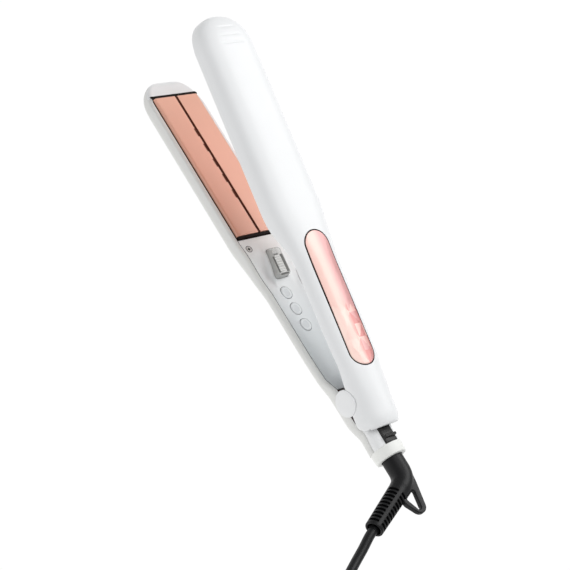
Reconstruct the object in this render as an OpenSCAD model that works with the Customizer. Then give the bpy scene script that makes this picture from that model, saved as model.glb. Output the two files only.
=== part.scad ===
// Steam hair straightener, lying open on the back of its lower arm.
// X runs along the lower arm from the hinge to the tip, Z is up, the table is at z = 0.
// Both arms share one set of sections, measured down from the rim that faces the other arm.

/* [Arms] */
// Width of the arms over the plates
arm_w = 42.4; // [41:0.2:46]
// Width of the handles
handle_w = 31.6; // [29:0.2:34]
// Width of the arms at the hinge
hinge_w = 29; // [28:0.5:31]
// Depth of an arm from its rim to the crown of its back
arm_t = 14.75; // [14:0.25:17]
// Depth of the flat that the lower arm lies on
rest_cut = 0.25; // [0.15:0.05:0.4]
// How far the tip reaches past the plates' window
tip_reach = 14.4; // [12:0.2:20]
// How far the handle's rim lies behind the plates' rim
handle_drop = 3.85; // [3:0.05:4.5]
// Width of the rim that a shell shows round its opening
rim_w = 2.7; // [2.4:0.1:3.2]
// Wall of the shells at the crown
wall = 1.8; // [1.4:0.1:2.2]
// Angle between the arms as they lie open
open_angle = 13.1; // [11:0.1:15]
// Length of the rounded tips
tip_l = 25; // [22:1:32]

/* [Plates] */
// Length of the plates
plate_l = 110; // [100:1:112]
// Gap between the plates and the rim, at each side
side_gap = 0.8; // [0.6:0.1:1.2]
// Thickness of a plate
plate_t = 2; // [1.6:0.1:2.4]
// How far the plates stand proud of the rim
plate_proud = 1.7; // [1.4:0.05:1.75]
// Width of the slit between two plates
slit_w = 1.2; // [0.8:0.1:1.6]
// Gap at the handle end of the plates
near_gap = 2; // [1.6:0.1:2.6]
// Gap at the tip end of the plates
tip_gap = 1.8; // [1.4:0.1:2.4]
// Distance from the hinge to the plates' window
window_x = 122.5; // [121:0.5:126]
// How far the plates can be pressed in
float_travel = 0.9; // [0.6:0.1:1]
// Number of steam notches
notch_count = 5; // [3:1:7]
// Length of a steam notch
notch_l = 6.4; // [4:0.2:8]
// Depth of a steam notch into its plate
notch_w = 1.3; // [0.8:0.1:1.8]
// Distance from one steam notch to the next
notch_pitch = 12.4; // [9:0.2:13.4]

/* [Hinge and tail] */
// Height of the hinge axis over the rim
hinge_rise = 1.85; // [1.8:0.05:2.2]
// Radius of the hinge pin
pin_r = 2; // [1.6:0.1:2.4]
// Running clearance of the hinge pin, on the radius
pin_clear = 0.05; // [0.02:0.01:0.09]
// Radius of the round cheeks at the hinge
cheek_r = 8.3; // [7.6:0.1:8.8]
// Thickness of a cheek
cheek_t = 1.2; // [1:0.1:1.4]
// Thickness of an ear of the hinge bracket
ear_t = 2.2; // [1.8:0.1:2.4]
// Radius of the collar at the end of the tail
collar_r = 10.2; // [9.8:0.1:10.6]
// Length of the collar
collar_l = 7; // [6:0.25:9]
// Distance from the hinge to the collar
tail_l = 32; // [31:0.5:36]
// Depth of the tail's axis below the rim
tail_drop = 3.9; // [3.6:0.1:4.2]

/* [Controls] */
// Width of a button
button_w = 7.6; // [6.6:0.2:8]
// Length of a button
button_l = 8.6; // [8:0.2:9.6]
// Distance from one button to the next
button_pitch = 12; // [11:0.25:12.5]
// Distance from the hinge to the first button
button_x = 59; // [57:0.5:60]
// How far a button travels
button_travel = 0.4; // [0.2:0.05:0.4]
// Gap round a button
button_gap = 0.25; // [0.15:0.05:0.35]
// Width of the lock slider
lock_w = 8.9; // [8:0.1:9.6]
// Length of the lock slider that shows
lock_l = 10.6; // [9.6:0.2:11]
// How far the lock slider travels
lock_travel = 3.5; // [2.5:0.25:3.5]

/* [Water tank] */
// Length of the tank
tank_l = 18.6; // [16:0.2:19]
// Width of the tank
tank_w = 11; // [9:0.5:12]
// Distance from the hinge to the tank
tank_x = 93; // [92.6:0.2:94]
// Wall of the tank
tank_wall = 1; // [0.8:0.1:1.4]
// Number of thumb ribs on the tank
tank_ribs = 7; // [4:1:8]

/* [Inlay] */
// Length of the inlay in the upper handle
inlay_l = 86; // [76:1:90]
// Width of the inlay
inlay_w = 18; // [14:0.5:19]
// Distance from the hinge to the inlay
inlay_x = 16.5; // [14:0.5:20]
// Gap round the inlay
inlay_gap = 0.4; // [0.2:0.05:0.6]

/* [Cord] */
// Diameter of the cord
cord_d = 5.8; // [5.2:0.1:5.8]
// Radius of the strain relief at its base
relief_r = 6.7; // [6.2:0.1:7]
// Radius of the strain relief at its mouth
mouth_r = 5.6; // [5.2:0.1:6]
// Rings of slots in the strain relief
slot_rings = 10; // [6:1:12]
// Turns in one layer of the coiled cord
coil_turns = 3.5; // [3:0.25:4.25]
// Radius of the coil's innermost turn
coil_r = 25.2; // [23.5:0.1:27]
// Distance from one turn of the coil to the next, beside it
coil_step = 6.3; // [6.3:0.1:7]

/* [Hidden] */
$fn = 48;

// Heights of the main levels over the table
rim_z = arm_t - rest_cut;
hinge_z = rim_z + hinge_rise;
axis_z = rim_z - tail_drop;
// Places along the arm
plate_x = window_x + near_gap;
plate_mid = plate_x + plate_l / 2;
window_end = plate_x + plate_l + tip_gap;
reach = window_end + tip_reach;
tip_start = reach - tip_l;
shoulder_l = 44;
shoulder_start = window_x + 1 - shoulder_l;
shoulder_end = window_x + 1;
drop_start = window_x - 33;
drop_end = window_x - 8;
window_w = arm_w - 2 * rim_w;
plate_w = window_w - 2 * side_gap;
// Clearance between covers and the shells they sit in
seam = 0.15;
// Clearance between bodies that move past each other
run_gap = 0.3;
// A little more than nothing, for cuts that run past a face
past = 0.6;
// Size of a cut that only has to reach the open
far = 40;

// Smooth step from a at x0 to b at x1
function ease(t) = t <= 0 ? 0 : t >= 1 ? 1 : t * t * (3 - 2 * t);
function step(x, x0, x1, a, b) = a + (b - a) * ease((x - x0) / (x1 - x0));
function unit(v) = v / norm(v);

// Share of its full size that a section keeps inside the rounded tip
tip_power = 2.4;
function tip_share(x) =
    x <= tip_start ? 1 : pow(1 - pow(min(1, (x - tip_start) / tip_l), tip_power), 1 / tip_power);

// Sections of the lower arm, measured at a distance x from the hinge
tail_w = 2 * collar_r - 0.6;
function body_w(x) = step(x, -22, -8, tail_w, hinge_w) + step(x, 0, 45, 0, handle_w - hinge_w)
    + step(x, shoulder_start, shoulder_end, 0, arm_w - handle_w);
function half_w(x) = body_w(x) / 2 * tip_share(x);
function depth(x) = step(x, -24, -10, tail_drop + collar_r - 0.3, arm_t)
    * (1 - 0.62 * (1 - tip_share(x)));
function round_r(x) = step(x, drop_start, drop_end, 2.3, 1.5) * (0.25 + 0.75 * tip_share(x));
function power(x) = step(x, shoulder_start, shoulder_end, 2.1, 3);

// Depth of the lower rim under the plates' rim: it rises beside the hinge and falls along the tail
tail_rim = 2;
function lower_rim(x) = step(x, -tail_l, -18, tail_drop - 0.5, tail_rim) - step(x, -18, -8.5, 0, tail_rim)
    + step(x, 9, 22, 0, handle_drop) - step(x, drop_start, drop_end, 0, handle_drop);
// Depth of the upper rim, which reaches down over the tail and rises in a curve at the rear
rear_x = -20.3;
rear_curve = 4.5;
skirt = 1.4;
function rear_rise(x) = x >= rear_x + rear_curve ? 0
    : 7 * (1 - sqrt(max(0, 1 - pow((rear_x + rear_curve - x) / rear_curve, 2))));
function upper_rim(x) = step(x, -6, 6, -skirt, 1.6) + step(x, 6, 22, 0, handle_drop - 1.6)
    - step(x, drop_start, drop_end, 0, handle_drop) + rear_rise(x);

// Half of a ring's points, mirrored to the other side
function both_sides(x, half) = concat([for (p = half) [x, p[0], rim_z + p[1]]],
    [for (k = [len(half) - 2:-1:0]) [x, -half[k][0], rim_z + half[k][1]]]);
// Underside of a section, from its side at depth r to its crown at depth t
function belly(w, r, t, n) = [for (a = [15:15:90])
    [w * pow(max(0, cos(a)), 2 / n), -r - (t - r) * pow(sin(a), 2 / n)]];
// One ring of points round a body, for a rim at depth r, half-width w and crown depth t
function body_ring(x, w, r, t, rr, n) = both_sides(x,
    concat([for (a = [90:-45:0]) [w - rr + rr * cos(a), -r - rr + rr * sin(a)]], belly(w, r + rr, t, n)));
// One ring of points of the hollow inside a body, open at the top
function hollow_ring(x, w, r, t, n) = both_sides(x, concat([[w, 4], [w, -r - 0.3]], belly(w, r + 0.3, t, n)));

// A closed solid through rings of points, all with the same number of points
function cap(m) = [for (j = [0:floor((m - 3) / 2)])
    j + 1 == m - 2 - j ? [j, j + 1, j + 2] : [j, j + 1, m - 2 - j, m - 1 - j]];
function turned(face) = [for (k = [len(face) - 1:-1:0]) face[k]];
module loft(rings) {
    n = len(rings);
    m = len(rings[0]);
    polyhedron(
        points = [for (r = rings) each r],
        faces = concat(
            [for (f = cap(m)) turned(f)],
            [for (i = [0:n - 2], j = [0:m - 1]) let (k = (j + 1) % m)
                each [[i * m + j, i * m + k, (i + 1) * m + k],
                    [i * m + j, (i + 1) * m + k, (i + 1) * m + j]]],
            [for (f = cap(m)) [for (v = f) (n - 1) * m + v]]));
}

// Stations from a to b, about one every step_l
function stations(a, b, step_l) = let (n = max(1, ceil((b - a) / step_l)))
    [for (i = [0:n]) a + (b - a) * i / n];
function inside(all, a, b) = concat([a], [for (x = all) if (x > a + 1 && x < b - 1) x], [b]);
tip_stations = [for (u = [0.25, 0.5, 0.7, 0.84, 0.93, 0.98, 0.999]) tip_start + tip_l * u];
arm_stations = concat(stations(24, shoulder_start, 11.5), stations(shoulder_start + 5, shoulder_end, 5),
    stations(shoulder_end + 34, tip_start, 34), tip_stations);
lower_stations = concat([-tail_l, -26, -22, -18, -15, -12, -8.5, 0, 9, 13, 17, 20], arm_stations);
upper_stations = concat([for (u = [0, 0.1, 0.25, 0.5, 1]) rear_x + rear_curve * u],
    [-12, -8, -4, 0, 4, 8, 13, 18], arm_stations);

// Size of the upper arm, drawn in at its rounded rear end
rear_round = 7;
function rear_share(x) = let (u = max(0, 1 - (x - rear_x) / rear_round))
    0.62 + 0.38 * sqrt(max(0, 1 - u * u));
function upper_half(x) = (x < 0 ? hinge_w / 2 : half_w(x)) * rear_share(x);
function upper_depth(x) = (x < 0 ? arm_t : depth(x)) - 7 * (1 - rear_share(x));

module lower_body() {
    loft([for (x = lower_stations) body_ring(x, half_w(x), lower_rim(x), depth(x), round_r(x), power(x))]);
}

module upper_body() {
    loft([for (x = upper_stations)
        body_ring(x, upper_half(x), upper_rim(x), upper_depth(x), round_r(x), power(x))]);
}

// The window keeps its width to its end, so the rim grows thinner at its front corners
function inner_half(x, w) = x > shoulder_end ? window_w / 2 : w - rim_w;
module lower_hollow() {
    loft([for (x = inside(lower_stations, -tail_l - past, window_end))
        hollow_ring(x, inner_half(x, half_w(x)), lower_rim(x), depth(x) - wall, power(x))]);
}

module upper_hollow() {
    loft([for (x = inside(upper_stations, rear_x + rear_curve, window_end))
        hollow_ring(x, inner_half(x, upper_half(x)), upper_rim(x), upper_depth(x) - wall, power(x))]);
}

// Moves what is drawn as a lower arm to the upper arm, as it lies open
module upper_place() {
    translate([0, 0, hinge_z]) rotate([0, -open_angle, 0]) mirror([0, 0, 1]) translate([0, 0, -hinge_z])
        children();
}

// A bar with straight sides from x0 to x1, cut from a profile in Y and Z
module along_x(x0, x1) {
    translate([x0, 0, 0]) rotate([90, 0, 90]) linear_extrude(x1 - x0) children();
}

// A round bar along X from x0, at y and z
module axle(x0, y, z, r, l) {
    translate([x0, y, z]) rotate([0, 90, 0]) cylinder(r = r, h = l);
}

// A round bar across the arm, from y0 to y1
module across(x, z, r, y0, y1) {
    translate([x, y1, z]) rotate([90, 0, 0]) cylinder(r = r, h = y1 - y0);
}

// A box between two corners
module box(a, b) {
    translate(a) cube(b - a);
}

// Outline with round ends along X
module slot_outline(l, w) {
    translate([-(l - w) / 2, 0]) circle(d = w);
    translate([(l - w) / 2, 0]) circle(d = w);
    square([l - w, w], center = true);
}

// Rectangle with its corners rounded
module rounded_rect(l, w, r) {
    for (sx = [-1, 1], sy = [-1, 1]) translate([sx * (l / 2 - r), sy * (w / 2 - r)]) circle(r = r);
    square([l - 2 * r, w], center = true);
    square([l, w - 2 * r], center = true);
}

// A tube through points, with its rings square to the way it runs
function heading(p, i) = unit(p[min(i + 1, len(p) - 1)] - p[max(i - 1, 0)]);
function ring_at(p, t, r, n, up) = let (s = unit(cross(t, up)), u = cross(s, t))
    [for (k = [0:n - 1]) p + r * (cos(360 * (k + 0.5) / n) * s + sin(360 * (k + 0.5) / n) * u)];
module rope(path, r, n, up = [0, 0, 1]) {
    loft([for (i = [0:len(path) - 1]) ring_at(path[i], heading(path, i), is_list(r) ? r[i] : r, n, up)]);
}

// Hinge: a bracket with two ears in the lower arm, a pin, and a knuckle in the upper arm
ear_y = hinge_w / 2 - cheek_t - ear_t;
ear_r = 6.4;
knuckle_r = 5.4;
knuckle_y = ear_y - run_gap;
base_t = 1.4;
base_z = rim_z - 9.6;
base_in = 3;

// Section of the bracket across the arm, grown by c for the seat that it sits in
module bracket_profile(c) {
    y = ear_y + ear_t + c;
    z = base_z - c;
    polygon([[y - 4.2, z], [y, z + 3.6], [y, hinge_z], [-y, hinge_z], [-y, z + 3.6], [4.2 - y, z]]);
}

module hinge_bracket() color("gainsboro") difference() {
    union() {
        along_x(-ear_r, ear_r) bracket_profile(0);
        across(0, hinge_z, ear_r, -ear_y - ear_t, ear_y + ear_t);
    }
    box([-ear_r - past, -ear_y, base_z + 4], [ear_r + past, ear_y, far]);
    box([-ear_r - past, base_in - ear_y, base_z + base_t], [ear_r + past, ear_y - base_in, far]);
    across(0, hinge_z, pin_r, -far, far);
}

module hinge_pin() color("silver") across(0, hinge_z, pin_r, -ear_y - ear_t, ear_y + ear_t);

// Two barrels on the pin, joined by a block that stands on the upper shell's crown
knuckle_foot = rim_z - 10.4;
foot_y = 7;
foot_t = 2;
spring_gap = 8;
module hinge_knuckle() color("gainsboro") upper_place() difference() {
    union() {
        across(0, hinge_z, knuckle_r, -knuckle_y, knuckle_y);
        box([-knuckle_r, -foot_y, knuckle_foot], [knuckle_r, foot_y, hinge_z]);
    }
    box([-knuckle_r - past, -spring_gap / 2, knuckle_foot + foot_t], [knuckle_r + past, spring_gap / 2, far]);
    across(0, hinge_z, pin_r + pin_clear, -far, far);
}

// Torsion spring round the pin: one wire, with a leg up to the knuckle and a leg down to the bracket
spring_wire = 1;
spring_r = 3.4;
spring_turns = 4;
spring_step = 1.5;
spring_n = 16;
module opening_spring() color("silver") {
    y0 = -spring_step * spring_turns / 2;
    up_leg = hinge_rise + 7.2;
    down_leg = hinge_z - base_z - base_t - run_gap;
    coil = [for (i = [0:spring_turns * spring_n]) let (a = 180 + 360 * i / spring_n)
        [spring_r * cos(a), y0 + spring_step * i / spring_n, hinge_z + spring_r * sin(a)]];
    last = coil[len(coil) - 1];
    legs = [[last - [0, 0, 1], last - [0, 0, down_leg]], [coil[0] + [0, 0, up_leg], coil[0] + [0, 0, 1]]];
    rope(concat(legs[1], coil, legs[0]), spring_wire / 2, 6, [0, 1, 0]);
}

// Screws that hold the inner covers, with their bosses and holes
screw_r = 1.2;
screw_head_r = 2.1;
screw_head_t = 1.2;
screw_l = 8;
screw_x = window_x - 7.5;
screw_y = window_w / 2 - 4.7;
boss_r = 2.8;
cover_t = 1.6;
recess_l = 2.6;
recess_w = 0.6;

module at_screws() {
    for (s = [-1, 1]) translate([screw_x, s * screw_y, 0]) children();
}

module screw_bosses() {
    at_screws() translate([0, 0, rim_z - arm_t + wall])
        cylinder(r = boss_r, h = arm_t - wall - cover_t - seam);
}

module screw_holes() {
    at_screws() translate([0, 0, rim_z - screw_l - seam]) cylinder(r = screw_r, h = far);
}

module screw_heads(c) {
    at_screws() translate([0, 0, rim_z - screw_head_t - c])
        cylinder(r = screw_head_r + c, h = screw_head_t + 2 * c);
}

module cover_screws() {
    difference() {
        union() {
            screw_heads(0);
            at_screws() translate([0, 0, rim_z - screw_l]) cylinder(r = screw_r, h = screw_l - past);
        }
        at_screws() for (a = [0, 90]) translate([0, 0, rim_z]) rotate(a)
            cube([recess_l, recess_w, 1.4], center = true);
    }
}
module lower_cover_screws() color("silver") cover_screws();

// Lower shell, with the round cheeks that cover the hinge and a flat to lie on
module lower_shell() color("whitesmoke") difference() {
    union() {
        difference() {
            lower_body();
            lower_hollow();
        }
        for (s = [0, 180]) rotate(s) across(0, hinge_z, cheek_r, ear_y + ear_t + seam, hinge_w / 2 + 0.1);
        screw_bosses();
    }
    screw_holes();
    along_x(-ear_r - seam, ear_r + seam) bracket_profile(seam);
    across(0, hinge_z, ear_r + seam, -ear_y - ear_t - seam, ear_y + ear_t + seam);
    along_x(-tail_l - past, -15) translate([0, axis_z]) circle(r = collar_r - wall - 1);
    box([-tail_l - past, -far, -far], [reach + past, far, 0]);
}

// Face of the lower inner cover: a dish, a thumb hollow and a raised seat round the tank
dish_d = 2.1;
tank_y = -2.2;
tank_mid = tank_x + tank_l / 2;
tank_gap = 0.3;
tank_top = rim_z + 2.2;
tank_bottom = rim_z - 9;
tank_slope = 9;
function hump(t) = abs(t) >= 1 ? 0 : pow(1 - t * t, 2);
function dish(x) = step(x, 8, 30, 0.2, dish_d) - step(x, drop_start - 2, drop_end - 4, 0, dish_d);
function thumb(x, y) = 2.4 * hump((x - tank_mid + 2) / 14) * hump((y - 8.2) / 4.6);
function seat_rise(x, y) =
    1.2 * hump((x - tank_mid + 1) / 17) * ease((tank_w / 2 + 3 - abs(y - tank_y)) / 2.2);
cover_rear = 11;
cover_front = window_x - seam;
cover_stations = inside(lower_stations, cover_rear, cover_front);
cover_half = 10;
// Places across a cover, and one ring of its sheet, whose face has the heights in tops
function across_w(w) = [for (k = [0:cover_half]) w * (1 - 2 * k / cover_half)];
function sheet_ring(x, w, tops) = let (ys = across_w(w))
    concat([for (k = [0:cover_half]) [x, ys[k], tops[k] - cover_t]],
        [for (k = [cover_half:-1:0]) [x, ys[k], tops[k]]]);

button_y = 0.7;
module lower_inner_cover() color("whitesmoke") difference() {
    loft([for (x = cover_stations) let (w = half_w(x) - rim_w - seam)
        sheet_ring(x, w, [for (y = across_w(w)) rim_z - lower_rim(x) - dish(x) * (1 - pow(y / w, 2))
            - thumb(x, y) + seat_rise(x, y)])]);
    for (i = [0:2]) translate([button_x + i * button_pitch, button_y, 0])
        linear_extrude(far) slot_outline(button_l + 2 * button_gap, button_w + 2 * button_gap);
    translate([tank_mid, tank_y, 0]) linear_extrude(far)
        rounded_rect(tank_l + 2 * tank_gap, tank_w + 2 * tank_gap, 2.4);
    screw_holes();
    screw_heads(seam);
}

// Upper half of the tail, which guides the lock slider
tail_top = 3.9;
tail_front = -12.5;
cover_y = 10.6;
inner_top = 1.9;
inner_y = 6;
slot_gap = 0.25;
lock_front = -20.8;
lock_rear = lock_front - lock_l;
module tail_cover() color("whitesmoke") difference() {
    loft([for (x = [-tail_l, -28, -24, -20, -16, tail_front])
        let (w = min(half_w(x) - seam / 2, cover_y), base = seam - lower_rim(x), h = tail_top - base)
        [for (a = [180:-15:0]) [x, w * cos(a), rim_z + base + h * pow(max(0, sin(a)), 0.72)]]]);
    box([-tail_l - past, -inner_y, 0], [tail_front + past, inner_y, rim_z + inner_top]);
    box([lock_rear - slot_gap, -lock_w / 2 - slot_gap, 0],
        [lock_front + lock_travel + slot_gap, lock_w / 2 + slot_gap, far]);
}

lock_top = 4.7;
lock_flange = 1.1;
lock_under = rim_z + inner_top - slot_gap;
lock_rib_x = lock_rear + 3.5;
lock_rib_r = 0.9;
module lock_slider() color([0.1, 0.1, 0.1]) {
    box([lock_rear, -lock_w / 2, lock_under], [lock_front, lock_w / 2, rim_z + lock_top]);
    box([lock_rear + 0.6, -lock_w / 2 - lock_flange, lock_under - 1],
        [lock_front + 1, lock_w / 2 + lock_flange, lock_under]);
    box([lock_rib_x - lock_rib_r, -lock_w / 2, rim_z + lock_top - past],
        [lock_rib_x + lock_rib_r, lock_w / 2, rim_z + lock_top + 1]);
    across(lock_rib_x, rim_z + lock_top + 1, lock_rib_r, -lock_w / 2, lock_w / 2);
}

// Plates and what carries them: drawn for the lower arm, and used by both
spreader_w = plate_w - 2.4;
spreader_t = 2.2;
heater_w = 14;
heater_t = 1.2;
plate_bottom = rim_z + plate_proud - plate_t;
spreader_bottom = plate_bottom - spreader_t;
heater_bottom = spreader_bottom - heater_t;
frame_top = plate_bottom - float_travel - 0.6;
frame_bottom = frame_top - 3.2;
bar_bottom = frame_bottom - 1.6;
bar_top = rim_z + plate_proud - 0.5;
bar_w = 7;
spring_inset = 9;
spring_xs = [plate_x + spring_inset, plate_x + plate_l - spring_inset];
plate_bevel = 0.6;

// One plate of a pair, on the +Y side, with its long edges bevelled
module half_plate() {
    y0 = slit_w / 2;
    y1 = plate_w / 2;
    top = plate_bottom + plate_t;
    along_x(plate_x, plate_x + plate_l) polygon([[y0, plate_bottom], [y1, plate_bottom],
        [y1, top - 2 * plate_bevel], [y1 - 0.4 * plate_bevel, top - plate_bevel],
        [y1 - 1.6 * plate_bevel, top - 0.2 * plate_bevel],
        [y1 - 3 * plate_bevel, top], [y0 + 0.5, top], [y0, top - 0.5]]);
}

module plate_near() {
    difference() {
        half_plate();
        for (i = [0:notch_count - 1])
            translate([plate_mid + (i - (notch_count - 1) / 2) * notch_pitch - notch_l / 2, 0, 0])
                cube([notch_l, slit_w / 2 + notch_w, far]);
    }
}

// Aluminium bar under both plates, with a slot that lets the steam up to the slit
module heat_spreader() {
    difference() {
        box([plate_x + 1, -spreader_w / 2, spreader_bottom],
            [plate_x + plate_l - 1, spreader_w / 2, plate_bottom]);
        translate([plate_mid, 0, 0]) linear_extrude(far) slot_outline(plate_l - 30, slit_w);
    }
}

// Ceramic heater in two strips beside the steam's way, joined at one end
module heater() {
    for (s = [0, 1]) mirror([0, s, 0])
        box([plate_x + 7, slit_w, heater_bottom], [plate_x + plate_l - 8, heater_w / 2, spreader_bottom]);
    box([plate_x + 5, -heater_w / 2, heater_bottom], [plate_x + 8, heater_w / 2, spreader_bottom]);
}

sensor_r = 1;
module sensor() {
    axle(plate_x + 30, 4, heater_bottom - sensor_r, sensor_r, 7);
}

// Black frame in the window, with a cross bar under each end of the plates
module plate_frame() {
    y = window_w / 2 - 0.5;
    x0 = window_x + seam;
    x1 = window_end - seam;
    difference() {
        union() {
            box([x0, -y, frame_bottom], [x1, y, frame_top]);
            box([x0, -y, frame_bottom], [plate_x - run_gap, y, bar_top]);
            box([plate_x + plate_l + run_gap, -y, frame_bottom], [x1, y, bar_top]);
        }
        box([plate_x + 1 - run_gap, -spreader_w / 2 - run_gap, frame_bottom - past],
            [plate_x + plate_l - 1 + run_gap, spreader_w / 2 + run_gap, far]);
    }
    for (x = spring_xs) box([x - bar_w / 2, 1 - y, bar_bottom], [x + bar_w / 2, y - 1, frame_bottom]);
}

// Springs that press the plates out
plate_spring_r = 1.8;
spring_y = spreader_w / 2 - 4.5;
module plate_springs() {
    for (x = spring_xs, s = [-1, 1]) translate([x, s * spring_y, frame_bottom]) difference() {
        cylinder(r = plate_spring_r, h = spreader_bottom - frame_bottom);
        translate([0, 0, -past]) cylinder(r = plate_spring_r - 0.6, h = far);
    }
}

module lower_plate_frame() color([0.12, 0.12, 0.12]) plate_frame();
module lower_plate_springs() color("silver") plate_springs();
module lower_plate_near() color([0.87, 0.64, 0.54]) plate_near();
module lower_plate_far() color([0.87, 0.64, 0.54]) mirror([0, 1, 0]) half_plate();
module lower_heat_spreader() color("silver") heat_spreader();
module lower_heater() color("ivory") heater();
module lower_sensor() color("peru") sensor();

// Steam, control and power parts inside the lower arm
seat_t = 1.2;
seat_top = tank_bottom - run_gap;
nipple_r = 1.5;
nipple_x = tank_mid + 4;
tube_r = 1.2;
module tank_seat() color("gainsboro") {
    translate([tank_mid, tank_y, seat_top - seat_t]) linear_extrude(seat_t) rounded_rect(tank_l, tank_w, 2);
    translate([nipple_x, tank_y, seat_top - past]) cylinder(r = nipple_r, h = 1.6 + past);
    for (x = [tank_x + 3, tank_x + tank_l - 6])
        box([x, -4, rim_z - arm_t + wall + 0.5], [x + 3, 4, seat_top - past]);
}

generator_x = plate_x + 2;
generator_l = 40;
generator_w = 18;
generator_t = 4.5;
generator_top = bar_bottom - 0.8;
generator_bottom = generator_top - generator_t;
riser_w = 2.8;
riser_l = 20;
riser_x = generator_x + generator_l - riser_l - 6;
module steam_generator() color("darkgray") {
    box([generator_x, -generator_w / 2, generator_bottom],
        [generator_x + generator_l, generator_w / 2, generator_top]);
    box([riser_x, -riser_w / 2, generator_top - past], [riser_x + riser_l, riser_w / 2, generator_top + 2.2]);
}

module steam_tube() color("lightgray")
    axle(tank_x + tank_l, tank_y, seat_top - seat_t / 2, tube_r, generator_x - tank_x - tank_l);

fuse_r = 1.3;
fuse_l = 8;
module thermal_fuse() color("peru")
    axle(generator_x + generator_l, 0, generator_top - generator_t / 2, fuse_r, fuse_l);

board_x = button_x - button_l - 0.4;
board_l = 2 * button_pitch + 17;
board_w = 15;
board_top = rim_z - 9.9;
board_t = 1;
switch_h = 0.8;
switch_w = 4;
module control_board() color([0.1, 0.4, 0.25])
    box([board_x, -board_w / 2, board_top - board_t], [board_x + board_l, board_w / 2, board_top]);

module button_switches() color("silver") for (i = [0:2])
    translate([button_x + i * button_pitch, button_y, board_top]) {
        translate([-switch_w / 2, -switch_w / 2, 0]) cube([switch_w, switch_w, switch_h - 0.2]);
        cylinder(r = 1.2, h = switch_h);
    }

wire_r = 0.8;
wire_y = 2.2;
wire_top = base_z - 0.2;
module power_wires() color("firebrick") for (s = [-1, 1])
    axle(1 - tail_l, s * wire_y, wire_top - wire_r, wire_r, board_x + tail_l - 1);

// A place in the upper arm, given as its distance from the hinge and its depth below the rim
function in_upper(x, d) = let (h = hinge_rise + d)
    [x * cos(open_angle) - h * sin(open_angle), hinge_z + x * sin(open_angle) + h * cos(open_angle)];

// Wires that stand on the power wires, cross in front of the hinge and end under the upper heater
wire_ends = [[16, 10.4], [window_x / 2, 10.6], [window_x - 4, 10.2], [plate_x + 12, 8.6],
    [plate_x + 20, 5.6]];
wire_way = concat([[9, wire_top + 0.02], [9, wire_top + 3], [8.4, hinge_z], in_upper(10.5, 7.5)],
    [for (p = wire_ends) in_upper(p[0], p[1])]);
function wire_out(x) = wire_y + step(x, shoulder_start, window_x, 0, 2);
module arm_wires() color("firebrick") for (s = [-1, 1])
    rope([for (p = wire_way) [p[0], s * wire_out(p[0]), p[1]]], wire_r, 8, [0, 1, 0]);

// Buttons, with a flange under the cover
button_top = rim_z - 5.5;
button_flange = 0.7;
button_bottom = board_top + switch_h + button_travel + 0.05;
module button(i) {
    translate([button_x + i * button_pitch, button_y, button_bottom]) {
        linear_extrude(button_top - button_bottom) slot_outline(button_l, button_w);
        linear_extrude(button_flange) slot_outline(button_l + 1.6, button_w + 1.6);
    }
}
module power_button() color("whitesmoke") button(0);
module up_button() color("whitesmoke") button(1);
module down_button() color("whitesmoke") button(2);

// Water tank with a sloping ribbed top, a filler hole with its stopper, and a hole for the valve
stopper_r = 2;
stopper_x = tank_x + 4;
rib_r = 0.55;
rib_inset = 1.5;
module tank_slant() {
    translate([tank_x + tank_l, 0, tank_top]) rotate([0, -tank_slope, 0]) children();
}
module tank_block(c) {
    intersection() {
        translate([tank_mid, tank_y, tank_bottom + c]) linear_extrude(far)
            rounded_rect(tank_l - 2 * c, tank_w - 2 * c, 2.2 - c / 2);
        tank_slant() box([-far, -far, -far], [far, far, -c]);
    }
}
module water_tank() color([0.45, 0.42, 0.42, 0.6]) difference() {
    union() {
        tank_block(0);
        for (i = [0:tank_ribs - 1]) tank_slant()
            across(-(tank_l - 2 * rib_inset) * (i + 0.5) / tank_ribs - rib_inset, 0, rib_r,
                tank_y - tank_w / 2 + 1.2, tank_y + tank_w / 2 - 1.2);
    }
    tank_block(tank_wall);
    translate([stopper_x, tank_y, 0]) cylinder(r = stopper_r, h = tank_bottom + 2);
    translate([nipple_x, tank_y, 0]) cylinder(r = nipple_r + run_gap, h = tank_bottom + 2);
}

module tank_stopper() color([0.2, 0.2, 0.2]) translate([stopper_x, tank_y, tank_bottom])
    cylinder(r = stopper_r, h = tank_wall + 0.6);

// Skin of the upper arm's back inside the inlay's outline, of the given thickness
inlay_t = 1.2;
module inlay_skin(t, gap) {
    difference() {
        intersection() {
            upper_body();
            translate([inlay_x + inlay_l / 2, 0, -far / 2]) linear_extrude(far / 2 + rim_z - 5)
                slot_outline(inlay_l + 2 * gap, inlay_w + 2 * gap);
        }
        translate([0, 0, t]) upper_body();
    }
}

// Upper shell, with pockets for the cheeks, room for the tail and grooves at the tip
groove_inset = [10.1, 16, 21.5];
groove_half = [6.2, 7.8, 8.8];
groove_r = 0.9;
rear_room = 6.3;
module upper_shell() color("white") upper_place() difference() {
    union() {
        difference() {
            upper_body();
            upper_hollow();
        }
        screw_bosses();
    }
    screw_holes();
    inlay_skin(inlay_t + seam, inlay_gap);
    for (s = [0, 180]) rotate(s) across(0, hinge_z, cheek_r + run_gap, ear_y - seam, far);
    box([rear_x - past, -ear_y - run_gap, rim_z - rear_room], [-9.5, ear_y + run_gap, far]);
    for (i = [0:2]) across(reach - groove_inset[i], rim_z - depth(reach - groove_inset[i]) - 0.2, groove_r,
        -groove_half[i], groove_half[i]);
}

module upper_inner_cover() color("whitesmoke") upper_place() difference() {
    loft([for (x = inside(upper_stations, cover_rear, cover_front)) let (w = half_w(x) - rim_w - seam)
        sheet_ring(x, w, [for (y = across_w(w)) rim_z - upper_rim(x) - dish(x) * (1 - pow(y / w, 2))])]);
    screw_holes();
    screw_heads(seam);
}

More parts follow.
